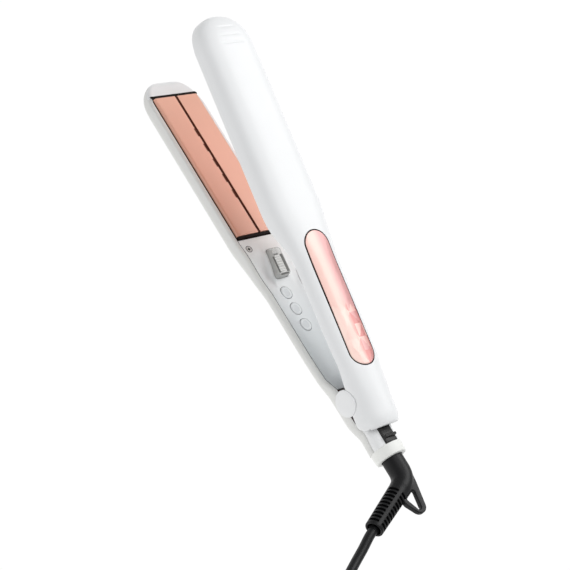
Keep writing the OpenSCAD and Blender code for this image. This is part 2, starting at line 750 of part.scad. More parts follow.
module handle_inlay() color([0.96, 0.76, 0.7]) upper_place() inlay_skin(inlay_t, 0);
module upper_plate_frame() color([0.12, 0.12, 0.12]) upper_place() plate_frame();
module upper_plate_springs() color("silver") upper_place() plate_springs();
module upper_cover_screws() color("silver") upper_place() cover_screws();
module upper_plate_near() color([0.87, 0.64, 0.54]) upper_place() half_plate();
module upper_plate_far() color([0.87, 0.64, 0.54]) upper_place() mirror([0, 1, 0]) half_plate();
module upper_heat_spreader() color("silver") upper_place() heat_spreader();
module upper_heater() color("ivory") upper_place() heater();
module upper_sensor() color("peru") upper_place() sensor();

// Collar at the end of the tail, and the bush that the cord's sleeve turns in
bush_l = 4.4;
bush_x = -tail_l - 5;
bush_r = 7.2;
sleeve_r = 4;
flange_r = 5.4;
flange_t = 1.2;
hole_gap = 0.25;
module collar_ring() color("ivory") difference() {
    translate([-tail_l, 0, axis_z]) rotate([0, -90, 0])
        cylinder(r1 = collar_r, r2 = collar_r - 0.5, h = collar_l);
    axle(bush_x - 0.5, 0, axis_z, bush_r, far);
    axle(-far - tail_l, 0, axis_z, relief_r + hole_gap, far);
}

module swivel_bush() color("gray") difference() {
    axle(bush_x, 0, axis_z, bush_r, bush_l);
    axle(bush_x - past, 0, axis_z, sleeve_r + pin_clear, far);
}

relief_x = bush_x - run_gap;
module swivel_sleeve() color("dimgray") {
    axle(relief_x, 0, axis_z, sleeve_r, bush_l + 2 * run_gap + past);
    axle(bush_x + bush_l + run_gap, 0, axis_z, flange_r, flange_t);
}

// Line of the strain relief: straight out, round the elbow, then down along the ribbed part
relief_base_l = 15.5;
relief_l = 41;
elbow = [-tail_l - collar_l - relief_base_l, 0.5, axis_z];
relief_d = unit([-0.446, 0.889, -0.102]);
bend = 9;
mouth = elbow + relief_l * relief_d;
in_leg = [elbow[0] + bend, 0, axis_z];
out_leg = elbow + bend * relief_d;
relief_curve = [for (t = [0:0.2:1]) (1 - t) * (1 - t) * in_leg + 2 * t * (1 - t) * elbow + t * t * out_leg];
relief_path = concat([[relief_x, 0, axis_z]], relief_curve, [mouth]);
relief_sizes = [for (i = [0:7]) i < 5 ? relief_r : i < 7 ? relief_r - 0.2 : mouth_r];

// Moves what is drawn along Z to a place on the ribbed part
module on_relief(s) {
    translate(elbow + s * relief_d)
        rotate([0, acos(relief_d[2]), atan2(relief_d[1], relief_d[0])]) children();
}

slot_start = 12;
slot_end = 2;
slot_pitch = (relief_l - slot_start - slot_end) / slot_rings;
slot_w = 1.9;
slot_d = 1.7;
spine = 2.2;
module relief_slots() {
    for (i = [0:slot_rings - 1]) let (s = slot_start + i * slot_pitch,
        r = relief_r + (mouth_r - relief_r) * s / relief_l)
        on_relief(s) difference() {
            cylinder(r = relief_r + 2, h = slot_w, $fn = 24);
            translate([0, 0, -past]) cylinder(r = r - slot_d, h = far, $fn = 24);
            for (a = [0, 90]) rotate(a) cube([far, spine, far], center = true);
        }
}

// Flat loop beside the elbow, for a hook
loop_t = 3.2;
loop_outer = [[-52, -4.4, 2.2], [-57, -3.6, 2.2], [-70.8, 2.2, 5.1], [-66, 7, 3.8], [-58.5, 6, 2.4]];
loop_hole = [[-62.6, 0.4, 1.1], [-71.6, 2.9, 1.8], [-65.6, 6.5, 1.1]];
module circles_hull(circles) {
    hull() for (c = circles) translate([c[0], c[1]]) circle(r = c[2], $fn = 32);
}

module hanging_loop() {
    translate([0, 0, axis_z - loop_t / 2]) linear_extrude(loop_t) difference() {
        circles_hull(loop_outer);
        circles_hull(loop_hole);
    }
}

module strain_relief() color([0.13, 0.13, 0.13]) {
    difference() {
        rope(relief_path, relief_sizes, 24);
        relief_slots();
    }
    hanging_loop();
}

// The cord runs straight on from the mouth, comes down to the table and curves into its coil
cord_r = cord_d / 2;
cord_points = [[-80, 49.3, 4.4], [-85, 58, 3.3], [-91, 68.4, 2.9], [-97, 78, 2.9], [-105, 86.8, 2.9],
    [-115, 93.6, 2.9], [-126.5, 97.8, 2.9], [-138.5, 99.4, 2.9]];
coil_start = [-150, 99.2, 2.9];
cord_way = unit(coil_start - cord_points[len(cord_points) - 1]);
meet_gap = 0.4;
cord_path = concat([mouth, mouth + cord_d * relief_d], cord_points, [coil_start - meet_gap * cord_way]);
module cord() color([0.15, 0.15, 0.15]) rope(cord_path, cord_r, 10);

// Round coil in two layers: in to the middle, up a layer, and out again
coil_from = 90;
coil_rise = cord_d + 0.45;
coil_out = coil_r + coil_turns * coil_step;
function flat_way(a) = [cos(a), sin(a), 0];
coil_mid = coil_start - coil_out * flat_way(coil_from);
coil_n = 24;
function coil_at(u) = coil_mid + (coil_r + abs(u - coil_turns) * coil_step) * flat_way(coil_from + 360 * u)
    + [0, 0, coil_rise * ease((u - coil_turns + 0.25) * 2)];
coil_path = [for (i = [0:2 * coil_turns * coil_n]) coil_at(i / coil_n)];

// The end climbs along the coil, turns in over it and meets the plug, which lies on the coil
plug_t = 14;
lead_round = 45;
lead_bend = 90;
lead_r = 25;
lead_from = coil_from + 720 * coil_turns;
lead_rise = cord_r + 0.1 + plug_t / 2;
function lead_run(q) = min(q, lead_round) * coil_out + max(0, q - lead_round) * lead_r;
function lead_at(q) = let (a = min(q, lead_round), out = coil_out + coil_step * a / 360)
    coil_mid + (out - lead_r) * flat_way(lead_from + a)
    + lead_r * flat_way(lead_from + a + max(0, q - lead_round))
    + [0, 0, coil_rise + lead_rise * ease(lead_run(q) / lead_run(lead_round + lead_bend))];
lead_path = [for (q = [7.5:7.5:lead_round + lead_bend]) lead_at(q)];
plug_exit = lead_path[len(lead_path) - 1];
plug_turn = lead_from + lead_round + lead_bend + 90;

module cord_coil() color([0.15, 0.15, 0.15]) rope(concat(coil_path, lead_path), cord_r, 6);

// Least gap between two stretches of the coil that lie half a turn or more apart
wound = concat(coil_path, lead_path);
coil_gap = min([for (i = [0:len(wound) - 1], j = [i + 12:1:len(wound) - 1])
    norm(wound[i] - wound[j])]) - cord_d;
echo(coil_gap = coil_gap);

// Flat two-pin plug
plug_l = 33;
plug_w = 35;
plug_neck = 10;
pin_pitch = 19;
pin_l = 19;
module plug_place() {
    translate(plug_exit) rotate(plug_turn) children();
}
module plug_body() color([0.13, 0.13, 0.13]) plug_place() {
    translate([plug_l / 2 + plug_neck / 2, 0, -plug_t / 2]) linear_extrude(plug_t)
        rounded_rect(plug_l - plug_neck, plug_w, 6);
    rotate([0, 90, 0]) cylinder(r1 = 4.5, r2 = 6.5, h = plug_neck + past);
}
module plug_pins() color("silver") plug_place() for (s = [-1, 1])
    axle(plug_l, s * pin_pitch / 2, 0, 2, pin_l);

lower_shell();
lower_inner_cover();
tail_cover();
lower_plate_frame();
hinge_bracket();
hinge_pin();
opening_spring();
collar_ring();
swivel_bush();
steam_generator();
steam_tube();
tank_seat();
control_board();
button_switches();
thermal_fuse();
power_wires();
lower_cover_screws();
lower_plate_springs();
lower_plate_near();
lower_plate_far();
lower_heat_spreader();
lower_heater();
lower_sensor();
upper_shell();
upper_inner_cover();
handle_inlay();
upper_plate_frame();
hinge_knuckle();
upper_cover_screws();
upper_plate_springs();
arm_wires();
upper_plate_near();
upper_plate_far();
upper_heat_spreader();
upper_heater();
upper_sensor();
power_button();
up_button();
down_button();
lock_slider();
water_tank();
tank_stopper();
strain_relief();
swivel_sleeve();
cord();
cord_coil();
plug_body();
plug_pins();
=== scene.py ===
"""Looks of the steam hair straightener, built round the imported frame.

Shapes are drawn in millimetres, and turned into metres when they are finished.
"""
import math

import bmesh
import bpy
from mathutils import Matrix, Vector


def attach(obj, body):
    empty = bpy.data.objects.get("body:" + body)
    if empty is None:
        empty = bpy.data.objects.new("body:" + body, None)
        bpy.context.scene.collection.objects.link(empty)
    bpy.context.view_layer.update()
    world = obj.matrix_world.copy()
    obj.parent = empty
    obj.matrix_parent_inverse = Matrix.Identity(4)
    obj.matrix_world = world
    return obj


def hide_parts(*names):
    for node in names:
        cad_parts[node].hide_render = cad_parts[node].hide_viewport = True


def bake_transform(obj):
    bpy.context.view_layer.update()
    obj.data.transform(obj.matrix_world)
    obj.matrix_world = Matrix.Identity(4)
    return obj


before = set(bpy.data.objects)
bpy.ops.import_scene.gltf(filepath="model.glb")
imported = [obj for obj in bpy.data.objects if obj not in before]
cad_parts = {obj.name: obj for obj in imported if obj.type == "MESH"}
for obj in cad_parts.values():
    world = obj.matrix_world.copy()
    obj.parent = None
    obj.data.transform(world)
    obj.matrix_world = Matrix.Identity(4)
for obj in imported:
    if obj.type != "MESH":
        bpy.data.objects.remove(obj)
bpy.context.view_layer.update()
MM = 0.001

# Sizes of the arms, as in the part's source
ARM_W, HANDLE_W, HINGE_W, ARM_T, REST_CUT = 42.4, 31.6, 29.0, 14.75, 0.25
HANDLE_DROP, RIM_W, WALL, SEAM = 3.85, 2.7, 1.8, 0.15
OPEN = math.radians(13.1)
WINDOW_X, WINDOW_END, REACH = 122.5, 236.3, 250.7
WINDOW_W = ARM_W - 2 * RIM_W
PLATE_X, PLATE_L, PLATE_PROUD = 124.5, 110.0, 1.7
TIP_L, TIP_POWER, TIP_THINS = 25.0, 2.4, 0.62
TIP_START = REACH - TIP_L
SHOULDER_START, SHOULDER_END = 79.5, 123.5
DROP_START, DROP_END = 89.5, 114.5
DIP_START, DIP_END = 9, 22
TAIL_WIDENS, TAIL_DEEPENS, HANDLE_WIDENS = (-22, -8), (-24, -10), (0, 45)

# Sizes of the hinge and the tail
HINGE_RISE = 1.85
RIM_Z = ARM_T - REST_CUT
HINGE_Z = RIM_Z + HINGE_RISE
CHEEK_R, CHEEK_Y, EAR_Y, EAR_T = 8.3, 14.6, 11.1, 2.2
TAIL_L, TAIL_DROP, TAIL_RIM, TAIL_FLAT_END, CHEEK_REAR = 32.0, 3.9, 2, -18, -8.5
COLLAR_R, COLLAR_L = 10.2, 7.0
AXIS_Z = RIM_Z - TAIL_DROP
TAIL_W, TAIL_DEPTH = 2 * COLLAR_R - 0.6, TAIL_DROP + COLLAR_R - 0.3
REAR_X, REAR_CURVE, REAR_ROUND, REAR_LIFT, REAR_THINS, REAR_SHARE = -20.3, 4.5, 7.0, 7, 7, 0.62
SKIRT, SKIRT_END, SKIRT_RISE = 1.4, 6, 1.6

# Sizes of what sits in the arms
TANK_X, TANK_L, TANK_W, TANK_Y = 93.0, 18.6, 11.0, -2.2
TANK_TOP, TANK_BOTTOM = RIM_Z + 2.2, RIM_Z - 9.0
TANK_MID = TANK_X + TANK_L / 2
TANK_SLOPE = math.radians(9)
BUTTON_X, BUTTON_Y, BUTTON_PITCH, BUTTON_L, BUTTON_W = 59.0, 0.7, 12.0, 8.6, 7.6
BUTTON_TOP = RIM_Z - 5.5
INLAY_X, INLAY_L, INLAY_W, INLAY_GAP = 16.5, 86.0, 18.0, 0.4
INLAY_MID = INLAY_X + INLAY_L / 2
SCREW_X, SCREW_Y, SCREW_HOLE_R = 115.0, 13.8, 2.35
FAR = 40


def ease(t):
    t = min(1.0, max(0.0, t))
    return t * t * (3 - 2 * t)


def step(x, x0, x1, a, b):
    """Runs smoothly from a at x0 to b at x1."""
    return a + (b - a) * ease((x - x0) / (x1 - x0))


def round_part(u):
    """Height of a quarter circle of radius 1 at the place u."""
    return math.sqrt(max(0.0, 1 - u * u))


def tip_share(x):
    """Share of the full width that is left at x."""
    if x <= TIP_START:
        return 1.0
    return max(0.0, 1 - min(1.0, (x - TIP_START) / TIP_L) ** TIP_POWER) ** (1 / TIP_POWER)


def body_w(x):
    return (step(x, *TAIL_WIDENS, TAIL_W, HINGE_W) + step(x, *HANDLE_WIDENS, 0, HANDLE_W - HINGE_W)
            + step(x, SHOULDER_START, SHOULDER_END, 0, ARM_W - HANDLE_W))


def half_w(x):
    return body_w(x) / 2 * tip_share(x)


def depth(x):
    """Depth of the lower arm's back below the rim plane."""
    return step(x, *TAIL_DEEPENS, TAIL_DEPTH, ARM_T) * (1 - TIP_THINS * (1 - tip_share(x)))


def round_r(x):
    """Radius of the rim's round edge."""
    return step(x, DROP_START, DROP_END, 2.3, 1.5) * (0.25 + 0.75 * tip_share(x))


def power(x):
    """Squareness of the section: 2 is an ellipse."""
    return step(x, SHOULDER_START, SHOULDER_END, 2.1, 3)


def lower_rim(x):
    """Depth of the lower arm's rim below the rim plane."""
    return (step(x, -TAIL_L, TAIL_FLAT_END, TAIL_DROP - 0.5, TAIL_RIM)
            - step(x, TAIL_FLAT_END, CHEEK_REAR, 0, TAIL_RIM)
            + step(x, DIP_START, DIP_END, 0, HANDLE_DROP) - step(x, DROP_START, DROP_END, 0, HANDLE_DROP))


def rear_rise(x):
    if x >= REAR_X + REAR_CURVE:
        return 0.0
    return REAR_LIFT * (1 - round_part((REAR_X + REAR_CURVE - x) / REAR_CURVE))


def upper_rim(x):
    return (step(x, -SKIRT_END, SKIRT_END, -SKIRT, SKIRT_RISE)
            + step(x, SKIRT_END, DIP_END, 0, HANDLE_DROP - SKIRT_RISE)
            - step(x, DROP_START, DROP_END, 0, HANDLE_DROP) + rear_rise(x))


def rear_share(x):
    return REAR_SHARE + (1 - REAR_SHARE) * round_part(max(0.0, 1 - (x - REAR_X) / REAR_ROUND))


def upper_half(x):
    return (HINGE_W / 2 if x < 0 else half_w(x)) * rear_share(x)


def upper_depth(x):
    return (ARM_T if x < 0 else depth(x)) - REAR_THINS * (1 - rear_share(x))


def inner_half(x, w):
    return WINDOW_W / 2 if x > SHOULDER_END else w - RIM_W


# Places along an arm, close enough together for smooth shading
def spaced(a, b, d):
    n = max(1, math.ceil((b - a) / d))
    return [a + (b - a) * i / n for i in range(n)]


TIP_N = 44
MAIN_START = 24
TIP_STATIONS = [TIP_START + TIP_L * (1 - (1 - k / TIP_N) ** 2.2) for k in range(TIP_N)]
TIP_STATIONS += [TIP_START + TIP_L * 0.9997]
MAIN_STATIONS = (spaced(MAIN_START, SHOULDER_START, 2.5) + spaced(SHOULDER_START, SHOULDER_END, 1.5)
                 + spaced(SHOULDER_END, TIP_START, 4) + [WINDOW_END]
                 + [x for x in TIP_STATIONS if abs(x - WINDOW_END) > 0.3])
LOWER_STATIONS = sorted(spaced(-TAIL_L, MAIN_START, 1) + MAIN_STATIONS)
REAR_STATIONS = [REAR_X + REAR_CURVE * u for u in (0, 0.03, 0.08, 0.15, 0.25, 0.36, 0.5, 0.65, 0.82)]
UPPER_STATIONS = sorted(REAR_STATIONS + spaced(REAR_X + REAR_CURVE, MAIN_START, 1) + MAIN_STATIONS)


def belly(w, r, t, n, steps):
    """Half of a section's back, from its side at depth r to its crown at depth t."""
    pts = []
    for k in range(steps + 1):
        a = math.pi / 2 * k / steps
        c, s = max(0.0, math.cos(a)), math.sin(a)
        rho = (c ** n + s ** n) ** (-1 / n)
        pts.append((w * rho * c, -r - (t - r) * rho * s))
    return pts


def outer_half(w, r, t, rr, n, wi, c):
    """Half of a section's outside, from the rim's inner corner to the crown."""
    rr = min(rr, w * 0.7)
    pts = [(min(wi, w - rr - 0.02), -r - c), (min(wi + c, w - rr - 0.01), -r)]
    for k in range(7):
        a = math.pi / 2 * (1 - k / 6)
        pts.append((w - rr + rr * math.cos(a), -r - rr + rr * math.sin(a)))
    return pts + belly(w, r + rr, t, n, 26)[1:]


def mirrored(x, half):
    return [(x, y, RIM_Z + d) for y, d in half] + [(x, -y, RIM_Z + d) for y, d in half[-2::-1]]


# Round edge of the lower arm's tip
TIP_EDGE = 6.5


def soft_rim(x):
    return lower_rim(x) + TIP_EDGE * (1 - round_part(max(0.0, TIP_EDGE - (REACH - x)) / TIP_EDGE))


def soft_round(x):
    r = step(x, TIP_START, REACH - 6, 1.5, 3.4) if x > TIP_START else round_r(x)
    return min(r, 0.45 * (depth(x) - soft_rim(x)))


def shell_mesh(xs, half, rim, deep, open_from, relief=None, edge=round_r):
    """A shell with a rounded rim: open from open_from to the end of the window, and solid elsewhere."""
    chamfer, near = 0.25, 0.01
    verts, faces, outers, inners = [], [], [], []

    def added(ring):
        start = len(verts)
        verts.extend(ring)
        return list(range(start, len(verts)))

    for x in xs:
        w, r, t = half(x), rim(x), deep(x)
        wi = inner_half(x, w) if x <= WINDOW_END + near else w * 0.9
        c = chamfer if open_from <= x < WINDOW_END - near else 0.0
        pts = outer_half(w, r, t, edge(x), power(x), wi, c)
        if relief:
            pts = [(y, d + relief(x, y, -d)) for y, d in pts]
        outers.append(added(mirrored(x, pts)))
        inner = None
        if open_from <= x <= WINDOW_END + near:
            hollow = belly(inner_half(x, w), r + 0.3, t - WALL, power(x), 10)
            inner = added(mirrored(x, [(-y, d) for y, d in hollow]))
        inners.append(inner)
    for i in range(len(xs) - 1):
        a, b = outers[i], outers[i + 1]
        loop_a, loop_b = list(a), list(b)
        if inners[i] and inners[i + 1]:
            loop_a += inners[i]
            loop_b += inners[i + 1]
        n = len(loop_a)
        for j in range(n):
            k = (j + 1) % n
            faces.append((loop_a[j], loop_a[k], loop_b[k], loop_b[j]))
        if inners[i] and not inners[i + 1]:
            faces.append(tuple([a[-1]] + inners[i] + [a[0]]))
        if inners[i + 1] and not inners[i]:
            faces.append(tuple([b[-1]] + inners[i + 1] + [b[0]]))
    faces.append(tuple(outers[0] + (inners[0] or [])))
    faces.append(tuple(outers[-1]))
    return verts, faces


def loft(rings, closed_ends=True):
    n, m = len(rings), len(rings[0])
    verts = [tuple(p) for r in rings for p in r]
    faces = [(i * m + j, i * m + (j + 1) % m, (i + 1) * m + (j + 1) % m, (i + 1) * m + j)
             for i in range(n - 1) for j in range(m)]
    if closed_ends:
        faces += [tuple(range(m)), tuple((n - 1) * m + j for j in range(m))]
    return verts, faces


def joined(*parts):
    verts, faces = [], []
    for v, f in parts:
        faces += [tuple(i + len(verts) for i in face) for face in f]
        verts += list(v)
    return verts, faces


def mesh_of(name, shape):
    verts, faces = shape
    me = bpy.data.meshes.new(name)
    me.from_pydata([tuple(float(c) for c in v) for v in verts], [], [tuple(f) for f in faces])
    bm = bmesh.new()
    bm.from_mesh(me)
    bmesh.ops.remove_doubles(bm, verts=bm.verts, dist=1e-5)
    bmesh.ops.recalc_face_normals(bm, faces=bm.faces)
    bm.to_mesh(me)
    bm.free()
    return me


def object_of(name, shape):
    ob = bpy.data.objects.new(name, mesh_of(name, shape))
    bpy.context.scene.collection.objects.link(ob)
    return ob


def cut(ob, shape):
    """Cuts a shape out of an object."""
    tool = object_of("cutter", shape)
    m = ob.modifiers.new("cut", "BOOLEAN")
    m.operation, m.solver, m.object = "DIFFERENCE", "EXACT", tool
    dg = bpy.context.evaluated_depsgraph_get()
    me = bpy.data.meshes.new_from_object(ob.evaluated_get(dg))
    ob.modifiers.clear()
    ob.data = me
    bpy.data.objects.remove(tool)


def paint(ob, index, where):
    """Gives the faces that a test picks another of the object's materials."""
    for p in ob.data.polygons:
        if where(p.center, p.normal):
            p.material_index = index


def add_mesh(ob, shape, index=0):
    """Adds another closed shape to an object's mesh as it is."""
    me = mesh_of("part", shape)
    me.polygons.foreach_set("material_index", [index] * len(me.polygons))
    bm = bmesh.new()
    bm.from_mesh(ob.data)
    bm.from_mesh(me)
    bm.to_mesh(ob.data)
    bm.free()


def move(ob, change):
    """Moves every point of a mesh by a function."""
    for v in ob.data.vertices:
        v.co = change(v.co)


def to_upper(p):
    """Moves a point drawn for the lower arm to the open upper arm."""
    x, z = p[0], -(p[2] - HINGE_Z)
    return Vector((x * math.cos(OPEN) - z * math.sin(OPEN), p[1],
                   HINGE_Z + x * math.sin(OPEN) + z * math.cos(OPEN)))


def finished(ob, material, body, replaces=(), angle=32, upper=False):
    """Takes a mesh in millimetres, gives it its looks and hangs it on its body."""
    if upper:
        move(ob, to_upper)
    me = ob.data
    me.transform(Matrix.Scale(MM, 4))
    bm = bmesh.new()
    bm.from_mesh(me)
    if upper:
        bmesh.ops.reverse_faces(bm, faces=bm.faces)
    limit = math.radians(angle)
    for f in bm.faces:
        f.smooth = True
    for e in bm.edges:
        e.smooth = len(e.link_faces) == 2 and e.calc_face_angle(0) < limit
    bm.to_mesh(me)
    bm.free()
    looks = [p.material_index for p in me.polygons]
    me.materials.clear()
    for m in material if isinstance(material, list) else [material]:
        me.materials.append(m)
    me.polygons.foreach_set("material_index", looks)
    if body:
        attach(ob, body)
    if replaces:
        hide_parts(*replaces)
    return ob


def circle(r, n):
    return [(r * math.cos(2 * math.pi * k / n), r * math.sin(2 * math.pi * k / n)) for k in range(n)]


def circle_at(cx, cy, r, n):
    return [(cx + x, cy + y) for x, y in circle(r, n)]


def turned_y(x, z, profile, n=72):
    """A body turned about an axis along Y: profile holds radius and y."""
    return loft([[(a, y, b) for a, b in circle_at(x, z, r, n)] for r, y in profile])


def across(x, z, r, y0, y1, n):
    """A round bar along Y."""
    return turned_y(x, z, [(r, y0), (r, y1)], n)


def turned_x(y, z, profile, n, closed=False):
    """A body turned about an axis along X: profile holds x and radius."""
    rings = [[(x, a, b) for a, b in circle_at(y, z, r, n)] for x, r in profile]
    if closed:
        rings.append(rings[0])
    return loft(rings, not closed)


def block(a, b):
    (x0, y0, z0), (x1, y1, z1) = a, b
    return loft([[(x, y0, z0), (x, y1, z0), (x, y1, z1), (x, y0, z1)] for x in (x0, x1)])


def slot_points(cx, cy, length, width, n=14):
    r, h = width / 2, (length - width) / 2
    pts = [(cx + h + r * math.cos(math.pi * (k / n - 0.5)), cy + r * math.sin(math.pi * (k / n - 0.5)))
           for k in range(n + 1)]
    return pts + [(2 * cx - x, 2 * cy - y) for x, y in pts]


def rounded_rect_points(cx, cy, length, width, r, n=6):
    pts = []
    for q, (sx, sy) in enumerate([(1, 1), (-1, 1), (-1, -1), (1, -1)]):
        for k in range(n + 1):
            a = math.pi / 2 * (q + k / n)
            pts.append((cx + sx * (length / 2 - r) + r * math.cos(a),
                        cy + sy * (width / 2 - r) + r * math.sin(a)))
    return pts


def prism(pts, z0, z1):
    return loft([[(x, y, z) for x, y in pts] for z in (z0, z1)])


# Looks: each material mixes in a little of the unevenness of its real surface
MOTTLE_SCALE, WEAR_SCALE, BUMP_DEPTH, COAT_ROUGH = 38, 120, 0.0002, 0.06


def material(name, color, rough, gleam=0.5, metal=0.0, coat=0.0, grain=900.0, bump=0.03, mottle=0.03,
             **extra):
    """A plain surface: gleam is its specular level, and mottle how much darker its spots are."""
    m = bpy.data.materials.new(name)
    m.use_nodes = True
    nt = m.node_tree
    p = nt.nodes["Principled BSDF"]
    values = {"Specular IOR Level": gleam, "Metallic": metal, "Coat Weight": coat,
              "Coat Roughness": COAT_ROUGH}
    for key, value in extra.items():
        values[key.replace("_", " ")] = value
    for key, value in values.items():
        p.inputs[key].default_value = value
    place = nt.nodes.new("ShaderNodeTexCoord")

    def noise(scale, detail):
        n = nt.nodes.new("ShaderNodeTexNoise")
        n.inputs["Scale"].default_value = scale
        n.inputs["Detail"].default_value = detail
        nt.links.new(place.outputs["Object"], n.inputs["Vector"])
        return n

    ramp = nt.nodes.new("ShaderNodeValToRGB")
    ramp.color_ramp.elements[0].position, ramp.color_ramp.elements[1].position = 0.3, 0.7
    ramp.color_ramp.elements[0].color = [c * (1 - mottle) for c in color] + [1]
    ramp.color_ramp.elements[1].color = list(color) + [1]
    nt.links.new(noise(MOTTLE_SCALE, 2).outputs["Fac"], ramp.inputs["Fac"])
    nt.links.new(ramp.outputs["Color"], p.inputs["Base Color"])
    span = nt.nodes.new("ShaderNodeMapRange")
    span.inputs["To Min"].default_value = rough * 0.85
    span.inputs["To Max"].default_value = min(1, rough * 1.15)
    nt.links.new(noise(WEAR_SCALE, 3).outputs["Fac"], span.inputs["Value"])
    nt.links.new(span.outputs["Result"], p.inputs["Roughness"])
    if bump:
        b = nt.nodes.new("ShaderNodeBump")
        b.inputs["Strength"].default_value = bump
        b.inputs["Distance"].default_value = BUMP_DEPTH
        nt.links.new(noise(grain, 4).outputs["Fac"], b.inputs["Height"])
        nt.links.new(b.outputs["Normal"], p.inputs["Normal"])
    return m


def blend_look(name, axis, start, end, stops, rough, **look):
    """A material whose colour runs along X or Y, through stops from start to end in metres."""
    m = material(name, (1, 1, 1), rough, **look)
    nt = m.node_tree
    place, split, span, ramp = (nt.nodes.new("ShaderNode" + kind)
                                for kind in ("TexCoord", "SeparateXYZ", "MapRange", "ValToRGB"))
    nt.links.new(place.outputs["Object"], split.inputs["Vector"])
    nt.links.new(split.outputs[axis], span.inputs["Value"])
    span.inputs["From Min"].default_value, span.inputs["From Max"].default_value = start, end
    nt.links.new(span.outputs["Result"], ramp.inputs["Fac"])
    while len(ramp.color_ramp.elements) < len(stops):
        ramp.color_ramp.elements.new(0.5)
    for e, (at, color) in zip(ramp.color_ramp.elements, stops):
        e.position, e.color = at, color + (1,)
    nt.links.new(ramp.outputs["Color"], nt.nodes["Principled BSDF"].inputs["Base Color"])
    return m


def inlay_painted_reflection(name, *stops):
    """The inlay's rose, running from pale at one long edge to pink at the other: a painted reflection of the
    lamps across its curved metal.
    """
    half = INLAY_W / 2 * MM
    return blend_look(name, "Y", half, -half, stops, 0.3, metal=0.12, coat=0.15, bump=0.008, gleam=0.4)


WHITE = material("white_gloss", (0.86, 0.866, 0.87), 0.38, 0.3, coat=0.08, bump=0.015, mottle=0.01)
GREY_WHITE = material("warm_white", (0.755, 0.755, 0.735), 0.42, 0.25, coat=0.05, bump=0.02, mottle=0.015)
COOL_WHITE = material("cool_white", (0.755, 0.778, 0.79), 0.4, 0.3, coat=0.05, bump=0.02, mottle=0.015)
# Painted shade: the cover's white darkens towards the hinge, where the upper arm shades it
COVER_PAINTED_SHADE = blend_look("cover_white_painted_shade", "X", 0.015, 0.115,
                         [(0, (0.63, 0.655, 0.67)), (0.3, (0.66, 0.69, 0.70)),
                          (0.62, (0.79, 0.81, 0.82)), (1, (0.87, 0.87, 0.86))],
                         0.4, coat=0.05, bump=0.02, gleam=0.3)
OVAL_GREY = material("button_oval", (0.66, 0.685, 0.70), 0.4, bump=0.02, mottle=0.015)
# Painted shade: a dark brown for the crevice under the upper arm's rear end and the gap round the inlay
GAP_SHADE = material("gap_painted_shade", (0.05, 0.028, 0.03), 0.5, bump=0, mottle=0.05)
# Painted shade: a dark grey for the parting line and the gaps round the buttons
PARTING_SHADE = material("parting_painted_shade", (0.10, 0.108, 0.112), 0.6, bump=0, mottle=0.02)
# Painted shade: a dark brown for the slit between the plates
SLIT_SHADE = material("slit_wall_painted_shade", (0.085, 0.02, 0.011), 0.7, 0.1, bump=0, mottle=0.1)
# Painted shade: a reddish brown for the depth of the steam notches
NOTCH_SHADE = material("notch_painted_shade", (0.30, 0.105, 0.07), 0.6, 0.2, bump=0, mottle=0.1)
FRAME_BLACK = material("frame_black", (0.012, 0.0065, 0.0055), 0.6, 0.12, bump=0, mottle=0.1)
BLACK = material("black_satin", (0.014, 0.013, 0.013), 0.42, 0.35, bump=0.05, mottle=0.1)
SOFT_BLACK = material("black_rubber", (0.0075, 0.0075, 0.008), 0.42, 0.25, bump=0.06, mottle=0.12)
IVORY = material("ivory_satin", (0.88, 0.885, 0.855), 0.45, 0.3, mottle=0.015)
STEEL = material("steel", (0.62, 0.62, 0.63), 0.3, metal=1.0)
DULL_STEEL = material("screw_head", (0.66, 0.65, 0.63), 0.45, metal=0.1)
BRASS = material("nickel_pin", (0.72, 0.66, 0.55), 0.25, metal=1.0, bump=0.02)
ALU = material("cast_aluminium", (0.66, 0.66, 0.66), 0.45, metal=1.0, bump=0.1)
# Painted shade: the heat spreader's copper is darkened almost to black, for the shade it lies in below the
# slit
COPPER_PAINTED_SHADE = material("copper_painted_shade", (0.03, 0.009, 0.006), 0.7, 0.1, bump=0)
PLASTIC = material("inner_plastic", (0.6, 0.6, 0.58), 0.5, bump=0.05)
CERAMIC = material("ceramic", (0.85, 0.82, 0.75), 0.5, bump=0.05)
BOARD = material("board", (0.04, 0.2, 0.1), 0.4, bump=0.05, mottle=0.2)
WIRE = material("wire_red", (0.34, 0.10, 0.09), 0.45, bump=0.05)
TANK = material("smoky_clear", (0.63, 0.63, 0.61), 0.1, coat=0.3, bump=0, mottle=0.04,
                Transmission_Weight=0.25, IOR=1.45)
TANK_RIB = material("tank_ribs", (0.60, 0.60, 0.58), 0.18, coat=0.3, bump=0)
TANK_DARK = material("tank_shade", (0.12, 0.12, 0.112), 0.3, 0.2, bump=0, mottle=0.1)
# Painted shade: the plates' rose darkens towards the handle, where the upper arm shades them
ROSE_PAINTED_SHADE = blend_look("rose_plate_painted_shade", "X", 0.125, 0.234,
                  [(0, (0.69, 0.365, 0.27)), (0.55, (0.82, 0.44, 0.33)), (1, (0.87, 0.47, 0.35))],
                  0.38, metal=0.2, coat=0.05, grain=600, bump=0.04)
PALE, MILD, ROSY, PINK = (0.85, 0.58, 0.515), (0.78, 0.44, 0.395), (0.68, 0.345, 0.335), (0.62, 0.225, 0.21)
# Painted reflection: the inlay's rose runs from pale to pink across its width
INLAY_PAINTED_REFLECTION = inlay_painted_reflection("rose_inlay", (0, (0.82, 0.52, 0.46)), (0.25, PALE), (0.45, (0.83, 0.54, 0.48)),
                   (0.68, ROSY), (1, ROSY))
